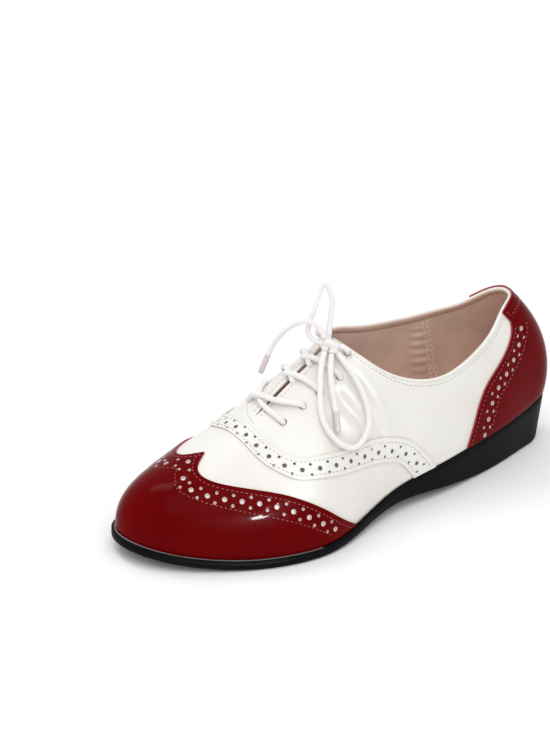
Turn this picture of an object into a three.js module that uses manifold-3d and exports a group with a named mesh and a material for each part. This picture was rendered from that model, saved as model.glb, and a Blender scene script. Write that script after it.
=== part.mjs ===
// A low lace-up shoe with a winged toe cap, for the left foot, in millimetres.
// X runs from heel to toe, Y towards the outer side of the foot and Z up from the floor.
// Every piece of the upper is worked out from one surface, the skin of the last.
import * as THREE from "three";
import { mergeVertices } from "three/addons/utils/BufferGeometryUtils.js";
import Module from "manifold-3d";

const wasm = await Module();
wasm.setup();

// Driving dimensions of the last
const LAST_LENGTH = 248.6;
const BALL_WIDTH = 87;
const INSTEP_HEIGHT = 88;
const HEEL_LEAN = 25;
const HEEL_BULGE = 3.1;
const LEAN_HEIGHT = 58;

// Driving dimensions of the upper
const UPPER_WALL = 1.8;
const BACK_HEIGHT = 86;
const SIDE_HEIGHT = 63;
const THROAT_GAP = 2.6;
const OVERLAY_THICKNESS = 0.9;
const TAB_HEIGHT = 5.5;
const EYELET_DIAMETER = 3.8;

// Driving dimensions of the sole and the insole
const HEEL_THICKNESS = 29;
const FOREPART_THICKNESS = 5;
const ARCH_RISE = 5;
const TOE_SPRING = 6.5;
const HEEL_BEVEL = 3;
const WELT_REACH = 3;
const HEEL_TUCK = 2;
const TOP_CHAMFER = 0.6;
const TREAD_ROUND = 1.4;
const INSOLE_THICKNESS = 2.5;

// Driving dimensions of the lace, and the gap left between pieces that touch
const LACE_DIAMETER = 2.8;
const GAP = 0.3;
const OVERLAY_GAP = 0.36;
const CROSSING_LIFT = 0.9;
const ROUTE_STEP = 1.6;

// Places along the shoe, as shares of the last's length from heel to toe
const THROAT_FOOT = 0.712;
const ARCH_FROM = 0.18;
const ARCH_TO = 0.7;
const SPRING_FROM = 0.78;
const LEAN_TO = 0.34;
const BEVEL_TO = 0.05;
const TUCK_TO = 0.5;
const WELT_FROM = 0.3;
const WELT_TO = 0.8;
const COLLAR_END = 0.41;

// Smaller shares: the sole's reach at the heel, the turn at which the insole's ends are cut, how far
// above the feather line the overlays start, and how far past the ridge a crossing lace ends
const HEEL_WELT = 0.2;
const INSOLE_END = 0.07;
const OVERLAY_FOOT = 0.015;
const CROSSING_REACH = 0.05;

// How finely the surfaces are divided
const SKIN_COLUMNS = 36;
const SKIN_ROWS = 12;
const CAP_ACROSS = 18;
const CAP_ALONG = 14;
const BAND_ALONG = 22;
const COUNTER_ROUND = 22;
const TAB_ROUND = 18;
const STRIP_ROWS = 2;
const INSOLE_SECTIONS = 28;
const PIN_SIDES = 10;
const BAR_POINTS = 6;
const BAR_STEPS = 9;
const KNOT_SIDES = 12;
const KNOT_RINGS = 8;
const LACE_ARC_STEPS = 4;

// Sections of the last. outer and inner are the feather line's sides as shares of the ball width,
// wedge the sole's extra thickness as a share of the heel's, ridge the height of the last's ridge
// over the feather line as a share of the instep height; bulge, wall and crown shape the side
// between them, and shift moves the ridge.
const SECTIONS = columns(
  ["at", "outer", "inner", "wedge", "ridge", "bulge", "wall", "crown", "shift"],
  [
    [0.0, 0.032, 0.032, 1.0, 0.98, 0.05, 0.35, 0.5, 0],
    [0.03, 0.19, -0.135, 0.97, 1.02, 0.06, 0.35, 0.5, 0],
    [0.08, 0.237, -0.215, 0.84, 1.094, 0.07, 0.35, 0.5, 0],
    [0.16, 0.297, -0.293, 0.74, 1.11, 0.08, 0.35, 0.48, -0.01],
    [0.26, 0.351, -0.335, 0.61, 1.085, 0.08, 0.35, 0.45, -0.03],
    [0.36, 0.386, -0.345, 0.39, 1.04, 0.08, 0.36, 0.42, -0.045],
    [0.46, 0.392, -0.37, 0.17, 0.991, 0.07, 0.38, 0.38, -0.045],
    [0.55, 0.453, -0.414, 0.04, 0.842, 0.06, 0.42, 0.37, -0.036],
    [0.64, 0.522, -0.471, 0, 0.716, 0.07, 0.46, 0.42, -0.034],
    [0.72, 0.52, -0.48, 0, 0.56, 0.08, 0.5, 0.5, -0.04],
    [0.8, 0.456, -0.452, 0, 0.455, 0.09, 0.54, 0.56, -0.034],
    [0.88, 0.345, -0.375, 0, 0.371, 0.1, 0.56, 0.6, -0.023],
    [0.95, 0.201, -0.275, 0, 0.268, 0.12, 0.58, 0.62, -0.011],
    [1.0, -0.069, -0.069, 0, 0, 0.12, 0.6, 0.62, 0],
  ],
);

// The collar's edge on each side, from the low point of the side (0) to the back's height (1)
const COLLAR = columns(
  ["at", "outer", "inner"],
  [
    [0.0, 1.0, 1.0],
    [0.04, 0.93, 0.77],
    [0.1, 0.66, 0.49],
    [0.18, 0.37, 0.36],
    [0.26, 0.13, 0.33],
    [0.34, 0.0, 0.42],
    [COLLAR_END, 0.13, 0.57],
    [0.47, 0.47, 0.78],
    [0.52, 0.94, 1.0],
    [0.56, 1.3, 1.3],
  ],
);

// The toe cap's back edge, from the outer feather line (arch 0) over the ridge (1) to the inner one (2)
const CAP_EDGE = columns(
  ["arch", "at"],
  [
    [0.0, 0.587],
    [0.12, 0.637],
    [0.21, 0.669],
    [0.32, 0.708],
    [0.41, 0.741],
    [0.5, 0.779],
    [0.58, 0.812],
    [0.67, 0.841],
    [0.76, 0.857],
    [0.86, 0.859],
    [0.94, 0.845],
    [1.0, 0.822],
    [1.06, 0.84],
    [1.14, 0.852],
    [1.24, 0.849],
    [1.34, 0.832],
    [1.44, 0.802],
    [1.54, 0.766],
    [1.68, 0.71],
    [1.79, 0.67],
    [1.88, 0.64],
    [2.0, 0.597],
  ],
);

// The perforated band's two edges, from the outer feather line to the ridge
const BAND = columns(
  ["frontAt", "frontArch", "backAt", "backArch"],
  [
    [0.418, 0.0, 0.364, 0.0],
    [0.456, 0.122, 0.409, 0.146],
    [0.496, 0.184, 0.447, 0.22],
    [0.537, 0.236, 0.489, 0.279],
    [0.593, 0.295, 0.541, 0.345],
    [0.643, 0.353, 0.598, 0.405],
    [0.689, 0.421, 0.65, 0.474],
    [0.719, 0.495, 0.692, 0.551],
    [0.744, 0.619, 0.715, 0.657],
    [0.755, 0.745, 0.727, 0.798],
    [0.757, 0.9, 0.728, 0.92],
    [0.757, 1.0, 0.728, 1.0],
  ],
);

// The heel counter's front edge, level by level from the feather line to the tab
const COUNTER_EDGE = columns(
  ["level", "at"],
  [
    [0.0, 0.276],
    [0.18, 0.268],
    [0.36, 0.257],
    [0.52, 0.245],
    [0.64, 0.23],
    [0.74, 0.205],
    [0.81, 0.165],
    [0.87, 0.122],
    [0.93, 0.088],
    [1.0, 0.07],
  ],
);

// The five pairs of lace holes, from the throat's foot up
const EYELETS = columns(
  ["at", "arch"],
  [
    [0.683, 0.788],
    [0.64, 0.76],
    [0.6, 0.735],
    [0.553, 0.705],
    [0.522, 0.765],
  ],
);

// The bow's knot, and the routes of its loops and ends from the knot outwards
const KNOT = { x: 138, y: 5.6, z: 86.4, radius: 3.4 };
const BOW = {
  lace_loop_up: [
    [136.3, 2.8, 89.4],
    [134.5, 0.4, 94.2],
    [132, -1.6, 100.3],
    [130.7, -3.1, 105.2],
    [130.9, -5.6, 110],
    [132.8, -7.6, 112.6],
    [136.2, -6.8, 107.8],
    [139.7, -5.4, 101.6],
    [142.1, -4.8, 96.8],
    [144.5, -3.4, 91.8],
    [143.3, -0.7, 88.5],
    [140.5, 2.1, 86.7],
  ],
  lace_loop_down: [
    [141.4, 6.6, 84.8],
    [145.6, 10, 81.2],
    [148.6, 13.2, 76.9],
    [151.3, 16.9, 70.9],
    [153.4, 20.3, 65.3],
    [155, 24.8, 59.2],
    [153.9, 30.6, 53.3],
    [149.6, 34.5, 48.4],
    [143.6, 35.5, 45.9],
    [137.2, 34, 47.8],
    [132.2, 31.3, 53.1],
    [130.3, 26.7, 61.5],
    [131.6, 21.8, 70.2],
    [134.5, 15.6, 78.6],
    [136.1, 8.8, 83.7],
  ],
  lace_end_1: [
    [139.5, 4.2, 89.9],
    [141.8, 0.9, 95.5],
    [145.2, -1.8, 98.2],
    [148.6, -6, 96.6],
    [150.9, -12, 91.2],
    [153.1, -16, 85.5],
    [154.8, -18.3, 80.2],
    [157.4, -19, 74],
    [161, -18.9, 67],
  ],
  lace_end_2: [
    [139.2, 9, 83.9],
    [143.6, 14.4, 77.6],
    [145.7, 18.9, 70.9],
    [146.7, 22.6, 64.3],
    [148, 26.6, 58.3],
    [150, 30.2, 53],
  ],
};

// The short laces from the top holes to the knot, one over the ridge
const TOP_LACES = {
  lace_top_outer: [
    [129.4, 8.6, 81.4],
    [130.7, 10.6, 83.6],
    [132.2, 10, 85.3],
    [134.3, 8.2, 86.3],
  ],
  lace_top_inner: [
    [129.8, -12.3, 82],
    [130.8, -13.7, 83.3],
    [132.2, -10.4, 86.2],
    [133.4, -5.3, 87.3],
    [135.2, 2.1, 85.9],
  ],
};

// Makes an object of named columns out of rows.
function columns(names, rows) {
  return Object.fromEntries(names.map((name, i) => [name, rows.map((row) => row[i])]));
}

// A smooth curve through values. An end is level, so that the two sides of the shoe meet there
// without a crease, or it runs straight through.
function smoothCurve(xs, ys, levelStart, levelEnd) {
  const last = xs.length - 1;
  const step = xs.slice(1).map((x, i) => x - xs[i]);
  const slope = step.map((h, i) => (ys[i + 1] - ys[i]) / h);
  const diagonal = [levelStart ? 2 * step[0] : 1];
  const above = [levelStart ? step[0] : 0];
  const right = [levelStart ? 6 * slope[0] : 0];
  for (let i = 1; i <= last; i++) {
    const atEnd = i === last;
    const below = atEnd && !levelEnd ? 0 : step[i - 1];
    const factor = below / diagonal[i - 1];
    const endOwn = levelEnd ? 2 * step[i - 1] : 1;
    const endLoad = levelEnd ? -6 * slope[i - 1] : 0;
    const own = atEnd ? endOwn : 2 * (step[i - 1] + step[i]);
    const load = atEnd ? endLoad : 6 * (slope[i] - slope[i - 1]);
    diagonal[i] = own - factor * above[i - 1];
    above[i] = atEnd ? 0 : step[i];
    right[i] = load - factor * right[i - 1];
  }
  const bend = new Array(last + 1).fill(0);
  for (let i = last; i >= 0; i--) {
    const next = i === last ? 0 : above[i] * bend[i + 1];
    bend[i] = (right[i] - next) / diagonal[i];
  }
  return (value) => {
    const x = THREE.MathUtils.clamp(value, xs[0], xs[last]);
    const found = xs.findIndex((edge) => edge > x);
    const i = found < 0 ? last - 1 : Math.max(found - 1, 0);
    const h = step[i];
    const a = xs[i + 1] - x;
    const b = x - xs[i];
    return (
      (bend[i] * a ** 3 + bend[i + 1] * b ** 3) / (6 * h) +
      (ys[i] / h - (bend[i] * h) / 6) * a +
      (ys[i + 1] / h - (bend[i + 1] * h) / 6) * b
    );
  };
}

// A share of the length as a turn: 0 at the heel and 1 at the toe, spaced so that both ends are round
const turnOf = (share) => Math.acos(1 - 2 * share) / Math.PI;
const shareOf = (turn) => (1 - Math.cos(Math.PI * turn)) / 2;

const sectionTurns = SECTIONS.at.map(turnOf);
const evenSection = (values) => smoothCurve(sectionTurns, values, true, true);
const halfWidth = smoothCurve(
  sectionTurns,
  SECTIONS.outer.map((outer, i) => ((outer - SECTIONS.inner[i]) / 2) * BALL_WIDTH),
  false,
  false,
);
const middle = evenSection(SECTIONS.outer.map((outer, i) => ((outer + SECTIONS.inner[i]) / 2) * BALL_WIDTH));
const wedge = evenSection(SECTIONS.wedge);
const ridge = smoothCurve(sectionTurns, SECTIONS.ridge.map((share) => share * INSTEP_HEIGHT), true, false);
const bulge = evenSection(SECTIONS.bulge);
const wall = evenSection(SECTIONS.wall);
const crown = evenSection(SECTIONS.crown);
const shift = evenSection(SECTIONS.shift.map((share) => share * BALL_WIDTH));

const collarTurns = COLLAR.at.map(turnOf);
const collarHeight = (share) => SIDE_HEIGHT + (BACK_HEIGHT - SIDE_HEIGHT) * share;
const outerCollar = smoothCurve(collarTurns, COLLAR.outer.map(collarHeight), true, false);
const innerCollar = smoothCurve(collarTurns, COLLAR.inner.map(collarHeight), true, false);

// The bottom's height: flat under heel and ball, raised in the waist and at the toe
function treadHeight(turn) {
  const share = shareOf(turn);
  const along = THREE.MathUtils.clamp((share - ARCH_FROM) / (ARCH_TO - ARCH_FROM), 0, 1);
  const lift = Math.max(share - SPRING_FROM, 0) / (1 - SPRING_FROM);
  return ARCH_RISE * Math.sin(Math.PI * along) ** 2 + TOE_SPRING * lift ** 2;
}

// The height of the feather line, where the upper meets the sole
function featherHeight(turn) {
  const thickness = FOREPART_THICKNESS + (HEEL_THICKNESS - FOREPART_THICKNESS) * wedge(turn);
  return treadHeight(turn) + thickness;
}

// A point of the last's skin: side is 1 outside and -1 inside, rise is 0 at the feather line and 1
// on the ridge.
function skin(turn, side, rise) {
  const share = shareOf(turn);
  const half = Math.max(halfWidth(turn), 0);
  const foot = featherHeight(turn);
  const height = Math.max(ridge(turn), 0);
  const rest = 1 - rise;
  const low = 3 * rest * rest * rise;
  const high = 3 * rest * rise * rise;
  const top = rise ** 3;
  const out = rest ** 3 + low * (1 + bulge(turn)) + high * crown(turn);
  const z = foot + height * (low * wall(turn) + high + top);
  const fade = THREE.MathUtils.smoothstep(1 - share / LEAN_TO, 0, 1);
  const up = (z - foot) / LEAN_HEIGHT;
  const lean = HEEL_LEAN * up * up - 4 * HEEL_BULGE * up * (1 - up);
  return new THREE.Vector3(
    LAST_LENGTH * share + fade * lean,
    middle(turn) + side * half * out + shift(turn) * (high + top),
    z,
  );
}

// The skin's outward direction. The skin is level across the ridge.
function skinNormal(turn, side, rise) {
  const tiny = 1e-3;
  if (turn > 1 - tiny) return new THREE.Vector3(1, 0, 0);
  const along = skin(Math.min(turn + tiny, 1), side, rise);
  along.sub(skin(Math.max(turn - tiny, 0), side, rise));
  const across = skin(turn, side, Math.min(rise + tiny, 1));
  across.sub(skin(turn, side, Math.max(rise - tiny, 0)));
  if (rise === 1) across.set(0, -side, 0);
  return across.cross(along).multiplyScalar(side).normalize();
}

// A point at a distance out from the skin
function outFromSkin(turn, side, rise, distance) {
  return skin(turn, side, rise).addScaledVector(skinNormal(turn, side, rise), distance);
}

// The same over the ridge: arch runs from 0 at the outer feather line to 2 at the inner one.
function overSkin(turn, arch, distance) {
  const side = arch <= 1 ? 1 : -1;
  return outFromSkin(turn, side, side > 0 ? arch : 2 - arch, distance);
}

// The rise at which the skin reaches a height
function riseAt(turn, side, height) {
  let low = 0;
  let high = 1;
  for (let i = 0; i < 40; i++) {
    const rise = (low + high) / 2;
    if (skin(turn, side, rise).z < height) low = rise;
    else high = rise;
  }
  return (low + high) / 2;
}

// The rise of the upper's open edge: the collar, then the throat's edge, then the closed ridge
function edgeRise(turn, side) {
  const share = shareOf(turn);
  if (share >= THROAT_FOOT) return 1;
  const collar = riseAt(turn, side, (side > 0 ? outerCollar : innerCollar)(turn));
  if (share < COLLAR_END) return collar;
  const throat = 1 - THROAT_GAP / 2 / (3 * crown(turn) * halfWidth(turn));
  return Math.min(collar, throat);
}

// Builds a closed solid out of triangles, turned so that its faces point out.
function closedSolid(points, faces) {
  const flat = new THREE.BufferGeometry().setFromPoints(points);
  flat.setIndex(faces);
  const merged = mergeVertices(flat, 1e-3);
  const triangles = [];
  const index = merged.index.array;
  for (let i = 0; i < index.length; i += 3) {
    const [a, b, c] = index.slice(i, i + 3);
    if (a !== b && b !== c && a !== c) triangles.push(a, b, c);
  }
  const solidOf = (order) =>
    new wasm.Manifold(
      new wasm.Mesh({
        numProp: 3,
        vertProperties: merged.attributes.position.array,
        triVerts: new Uint32Array(order),
      }),
    );
  const made = solidOf(triangles);
  return made.volume() > 0 ? made : solidOf(triangles.reverse());
}

// A closed shell between two grids of points with the same rows. A ring joins its last column to
// its first; openTop says which columns have a free top edge.
function shellBetween(outer, inner, ring, openTop = () => true) {
  const rows = outer.length;
  const wide = outer[0].length;
  const points = [...outer.flat(), ...inner.flat()];
  const back = rows * wide;
  const faces = [];
  const quad = (a, b, c, d) => faces.push(a, b, c, a, c, d);
  const spans = ring ? wide : wide - 1;
  for (let j = 0; j < spans; j++) {
    const k = (j + 1) % wide;
    for (let i = 0; i < rows - 1; i++) {
      const low = i * wide;
      const high = low + wide;
      quad(low + j, low + k, high + k, high + j);
      quad(back + low + k, back + low + j, back + high + j, back + high + k);
    }
    quad(back + j, back + k, k, j);
    const top = (rows - 1) * wide;
    if (openTop(j, k)) quad(top + j, top + k, back + top + k, back + top + j);
  }
  if (!ring) {
    for (let i = 0; i < rows - 1; i++) {
      const low = i * wide;
      const high = low + wide;
      quad(low, high, back + high, back + low);
      quad(low + wide - 1, back + low + wide - 1, back + high + wide - 1, high + wide - 1);
    }
  }
  return closedSolid(points, faces);
}

// A closed solid through sections of as many points each. capped closes its two flat ends; without
// it they have run together into an edge.
function loft(sections, capped) {
  const wide = sections[0].length;
  const start = wide * (sections.length - 1);
  const faces = [];
  for (let j = 1; capped && j < wide - 1; j++) {
    faces.push(0, j + 1, j, start, start + j, start + j + 1);
  }
  for (let i = 0; i < sections.length - 1; i++) {
    for (let j = 0; j < wide; j++) {
      const a = i * wide + j;
      const b = i * wide + ((j + 1) % wide);
      faces.push(a, b, b + wide, a, b + wide, a + wide);
    }
  }
  return closedSolid(sections.flat(), faces);
}

// The closed solid of one of the library's own geometries
function solidOfGeometry(geometry) {
  const plain = geometry.index ? geometry.toNonIndexed() : geometry;
  const position = plain.getAttribute("position");
  const points = Array.from({ length: position.count }, (_, i) =>
    new THREE.Vector3().fromBufferAttribute(position, i),
  );
  return closedSolid(points, [...points.keys()]);
}

// A named mesh of a solid
function meshOf(name, solid, material) {
  const data = solid.getMesh();
  const geometry = new THREE.BufferGeometry();
  geometry.setAttribute("position", new THREE.BufferAttribute(data.vertProperties, 3));
  geometry.setIndex(new THREE.BufferAttribute(data.triVerts, 1));
  geometry.computeVertexNormals();
  const mesh = new THREE.Mesh(geometry, material);
  mesh.name = name;
  return mesh;
}

// Evenly spaced turns from heel to toe, with the one nearest the throat's foot moved onto it
function skinTurns() {
  const turns = Array.from({ length: SKIN_COLUMNS + 1 }, (_, i) => i / SKIN_COLUMNS);
  const foot = turnOf(THROAT_FOOT);
  turns[Math.round(foot * SKIN_COLUMNS)] = foot;
  return turns;
}

// The columns of a ring round the shoe: out along the outer side and back along the inner one
function ringColumns() {
  const turns = skinTurns();
  const outward = turns.map((turn) => ({ turn, side: 1 }));
  const back = turns.slice(1, -1).reverse();
  return [...outward, ...back.map((turn) => ({ turn, side: -1 }))];
}

// The upper: one hollow wall, open at the collar, along the throat and underneath
function makeUpper() {
  const ring = ringColumns();
  const levels = Array.from({ length: SKIN_ROWS + 1 }, (_, i) => i / SKIN_ROWS);
  const layer = (distance) =>
    levels.map((level) =>
      ring.map(({ turn, side }) => outFromSkin(turn, side, level * edgeRise(turn, side), distance)),
    );
  const isOpen = (j, k) => Math.min(shareOf(ring[j].turn), shareOf(ring[k].turn)) < THROAT_FOOT - 1e-6;
  let solid = shellBetween(layer(0), layer(-UPPER_WALL), true, isOpen);
  for (const hole of eyeletHoles()) solid = solid.subtract(hole);
  return solid;
}

// A pin through the wall at each lace hole
function eyeletHoles() {
  const depth = 4 * UPPER_WALL;
  return EYELETS.at.flatMap((at, i) =>
    [1, -1].map((side) => {
      const turn = turnOf(at);
      const pin = new THREE.CylinderGeometry(EYELET_DIAMETER / 2, EYELET_DIAMETER / 2, depth, PIN_SIDES);
      const normal = skinNormal(turn, side, EYELETS.arch[i]);
      const facing = new THREE.Quaternion().setFromUnitVectors(new THREE.Vector3(0, 1, 0), normal);
      const place = skin(turn, side, EYELETS.arch[i]);
      pin.applyMatrix4(new THREE.Matrix4().compose(place, facing, new THREE.Vector3(1, 1, 1)));
      return solidOfGeometry(pin);
    }),
  );
}

// A raised piece on the upper: a grid of points worked out at its lower and its upper face
function overlay(grid) {
  return shellBetween(grid(OVERLAY_GAP + OVERLAY_THICKNESS), grid(OVERLAY_GAP), false);
}

const steps = (count) => Array.from({ length: count + 1 }, (_, i) => i / count);
const clearOfSole = (arch) => THREE.MathUtils.clamp(arch, OVERLAY_FOOT, 2 - OVERLAY_FOOT);

// The winged toe cap: from its scalloped back edge to the tip
function makeWingCap() {
  const edge = smoothCurve(CAP_EDGE.arch, CAP_EDGE.at, false, false);
  const outward = steps(CAP_ACROSS);
  const across = [...outward, ...outward.slice(1).map((arch) => 1 + arch)];
  return overlay((distance) =>
    steps(CAP_ALONG).map((along) =>
      across.map((arch) => {
        const from = turnOf(edge(arch));
        return overSkin(THREE.MathUtils.lerp(from, 1, along), clearOfSole(arch), distance);
      }),
    ),
  );
}

// The perforated band: across the vamp just below the throat and down both sides to the sole
function makeBand() {
  const knots = BAND.frontAt.map((_, i) => i);
  const last = knots.length - 1;
  const edges = ["front", "back"].map((edge) => ({
    turn: smoothCurve(knots, BAND[`${edge}At`].map(turnOf), false, true),
    arch: smoothCurve(knots, BAND[`${edge}Arch`], false, false),
  }));
  const outward = steps(BAND_ALONG).map((step) => step * last);
  const run = [
    ...outward.map((knot) => ({ knot, inner: false })),
    ...outward.slice(0, -1).reverse().map((knot) => ({ knot, inner: true })),
  ];
  return overlay((distance) =>
    steps(STRIP_ROWS).map((across) =>
      run.map(({ knot, inner }) => {
        const turn = THREE.MathUtils.lerp(edges[0].turn(knot), edges[1].turn(knot), across);
        const arch = THREE.MathUtils.lerp(edges[0].arch(knot), edges[1].arch(knot), across);
        return overSkin(turn, clearOfSole(inner ? 2 - arch : arch), distance);
      }),
    ),
  );
}

// Columns round the heel between the same place on both sides, as a turn and a side
function roundHeel(at, count) {
  return steps(count).map((step) => {
    const run = turnOf(at) * (1 - 2 * step);
    return { turn: Math.abs(run), side: run < 0 ? -1 : 1 };
  });
}

// The collar's height round the heel
const collarAt = (turn, side) => (side > 0 ? outerCollar : innerCollar)(turn);

// The heel counter: round the back, up to the tab
function makeCounter() {
  return overlay((distance) =>
    COUNTER_EDGE.level.map((level, i) =>
      roundHeel(COUNTER_EDGE.at[i], COUNTER_ROUND).map(({ turn, side }) => {
        const top = riseAt(turn, side, collarAt(turn, side) - TAB_HEIGHT - GAP);
        return outFromSkin(turn, side, Math.max(level * top, OVERLAY_FOOT), distance);
      }),
    ),
  );
}

// The heel tab: a narrow piece along the collar's edge above the counter
function makeTab() {
  const ends = COUNTER_EDGE.at.at(-1);
  return overlay((distance) =>
    steps(STRIP_ROWS).map((level) =>
      roundHeel(ends, TAB_ROUND).map(({ turn, side }) => {
        const height = collarAt(turn, side) - TAB_HEIGHT * (1 - level);
        return outFromSkin(turn, side, riseAt(turn, side, height), distance);
      }),
    ),
  );
}

// The sole's reach past the feather line
function weltReach(turn) {
  const along = THREE.MathUtils.smoothstep(shareOf(turn), WELT_FROM, WELT_TO);
  return WELT_REACH * THREE.MathUtils.lerp(HEEL_WELT, 1, along);
}

// A point beside the feather line, at a distance out from it in plan. At heel and toe the line runs
// straight across.
function besideFeather(turn, side, distance, height) {
  const tiny = 1e-3;
  const ahead = skin(Math.min(turn + tiny, 1), side, 0);
  ahead.sub(skin(Math.max(turn - tiny, 0), side, 0));
  if (turn === 0 || turn === 1) ahead.x = 0;
  const out = new THREE.Vector3(-ahead.y, ahead.x, 0).normalize().multiplyScalar(side * distance);
  const point = skin(turn, side, 0).add(out);
  return point.setZ(height);
}

// One section of the sole, from the top's edge down to the tread on one side
function soleSide(turn, side) {
  const share = shareOf(turn);
  const top = featherHeight(turn) - GAP;
  const bevel = HEEL_BEVEL * Math.max(1 - share / BEVEL_TO, 0) ** 2;
  const bottom = treadHeight(turn) + bevel;
  const reach = weltReach(turn);
  const tuck = HEEL_TUCK * Math.max(1 - share / TUCK_TO, 0);
  const rows = [
    [reach - TOP_CHAMFER, top],
    [reach, top - TOP_CHAMFER],
    [reach - tuck / 2, (top + bottom) / 2],
    [reach - tuck, bottom + TREAD_ROUND],
    [reach - tuck - 0.3 * TREAD_ROUND, bottom + 0.3 * TREAD_ROUND],
    [reach - tuck - TREAD_ROUND, bottom],
  ];
  return rows.map(([out, height]) => besideFeather(turn, side, out, height));
}

// The wedge sole: sections from heel to toe, flat across the top and the tread
function makeSole() {
  const sections = skinTurns().map((turn) => [...soleSide(turn, 1), ...soleSide(turn, -1).reverse()]);
  return loft(sections, false);
}

// The insole: a flat pad inside the upper's wall, on top of the sole, with its ends cut straight
// where the last turns in
function makeInsole() {
  const inset = -(UPPER_WALL + 2 * GAP);
  return loft(
    steps(INSOLE_SECTIONS).map((step) => {
      const turn = THREE.MathUtils.lerp(INSOLE_END, 1 - INSOLE_END, step);
      const foot = featherHeight(turn);
      const side = (which) => [
        besideFeather(turn, which, inset, foot + INSOLE_THICKNESS),
        besideFeather(turn, which, inset, foot),
      ];
      return [...side(1), ...side(-1).reverse()];
    }),
    true,
  );
}

// A round cord along points, as one closed solid
function cordSolid(points, count) {
  const path = new THREE.CatmullRomCurve3(points, false, "centripetal");
  const section = new THREE.Shape();
  section.absarc(0, 0, LACE_DIAMETER / 2, 0, 2 * Math.PI);
  const tube = new THREE.ExtrudeGeometry(section, {
    steps: count,
    extrudePath: path,
    curveSegments: LACE_ARC_STEPS,
    bevelEnabled: false,
  });
  return solidOfGeometry(tube);
}

// A lace from one place of the upper to another, above the skin all the way. lifted is how far it
// also rises, as a share of its length so far.
function laceBar(from, to, lifted = () => 0) {
  const clear = LACE_DIAMETER / 2 + GAP;
  const points = steps(BAR_POINTS).map((step) => {
    const turn = THREE.MathUtils.lerp(turnOf(from.at), turnOf(to.at), step);
    const arch = THREE.MathUtils.lerp(from.arch, to.arch, step);
    return overSkin(turn, arch, clear + CROSSING_LIFT * LACE_DIAMETER * lifted(step));
  });
  return cordSolid(points, BAR_STEPS);
}

// A lace hole as a place on the upper
function holePlace(pair, inner) {
  const arch = EYELETS.arch[pair];
  return { at: EYELETS.at[pair], arch: inner ? 2 - arch : arch };
}

// The lowest crossing: both laces run from hole to hole, the outer hole's one on top.
function makeLowCrossing() {
  const over = laceBar(holePlace(1, false), holePlace(0, true), (step) => Math.sin(Math.PI * step) ** 2);
  const under = laceBar(holePlace(1, true), holePlace(0, false));
  return over.add(under);
}

// A crossing above it: each lace leaves its hole and ends just past the throat, lower down.
function makeCrossing(pair) {
  const at = (EYELETS.at[pair] + EYELETS.at[pair - 1]) / 2;
  const over = laceBar(holePlace(pair, false), { at, arch: 1 + CROSSING_REACH }, (step) => step ** 2);
  const under = laceBar(holePlace(pair, true), { at, arch: 1 - CROSSING_REACH });
  return over.add(under);
}

// A lace along a route of chosen points, with a step every few millimetres
function makeRoute(route) {
  const points = route.map((place) => new THREE.Vector3(...place));
  const length = new THREE.CatmullRomCurve3(points).getLength();
  return cordSolid(points, Math.ceil(length / (ROUTE_STEP * LACE_DIAMETER)));
}

// The bow's knot
function makeKnot() {
  const ball = new THREE.SphereGeometry(KNOT.radius, KNOT_SIDES, KNOT_RINGS);
  return solidOfGeometry(ball.translate(KNOT.x, KNOT.y, KNOT.z));
}

const whiteLeather = new THREE.MeshStandardMaterial({ color: 0xf2efe8, roughness: 0.4 });
const redPatent = new THREE.MeshStandardMaterial({ color: 0x7d0610, roughness: 0.15 });
const blackRubber = new THREE.MeshStandardMaterial({ color: 0x1a1b1d, roughness: 0.55 });
const paleLining = new THREE.MeshStandardMaterial({ color: 0xb39a8e, roughness: 0.8 });
const laceCotton = new THREE.MeshStandardMaterial({ color: 0xe9e4e0, roughness: 0.85 });

const shoe = new THREE.Group();
shoe.add(
  meshOf("sole", makeSole(), blackRubber),
  meshOf("insole", makeInsole(), paleLining),
  meshOf("upper", makeUpper(), whiteLeather),
  meshOf("wing_cap", makeWingCap(), redPatent),
  meshOf("perforated_band", makeBand(), whiteLeather),
  meshOf("heel_counter", makeCounter(), redPatent),
  meshOf("heel_tab", makeTab(), redPatent),
);
shoe.add(meshOf("lace_crossing_1", makeLowCrossing(), laceCotton));
for (let pair = 2; pair < EYELETS.at.length - 1; pair++) {
  shoe.add(meshOf(`lace_crossing_${pair}`, makeCrossing(pair), laceCotton));
}
for (const [name, route] of Object.entries({ ...TOP_LACES, ...BOW })) {
  shoe.add(meshOf(name, makeRoute(route), laceCotton));
}
shoe.add(meshOf("lace_knot", makeKnot(), laceCotton));

// The origin goes under the middle of the box round the shoe without its bow
const box = new THREE.Box3();
for (const mesh of shoe.children) {
  if (!(mesh.name in BOW) && mesh.name !== "lace_knot") box.expandByObject(mesh);
}
const centre = box.getCenter(new THREE.Vector3());
shoe.position.set(-centre.x, -centre.y, -box.min.z);

export default shoe;
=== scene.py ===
"""A left lace-up shoe with a winged toe cap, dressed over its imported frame.

Sizes are in millimetres until a mesh is made. The last's skin is the surface that every piece of
the upper lies on. A place on it is a turn (0 at the heel, 1 at the toe) and an arch (0 at the outer
feather line, 1 on the ridge, 2 at the inner feather line).
"""
import math

import bmesh
import bpy
import numpy as np
from mathutils import Matrix, Vector, geometry
from mathutils.kdtree import KDTree


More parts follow.
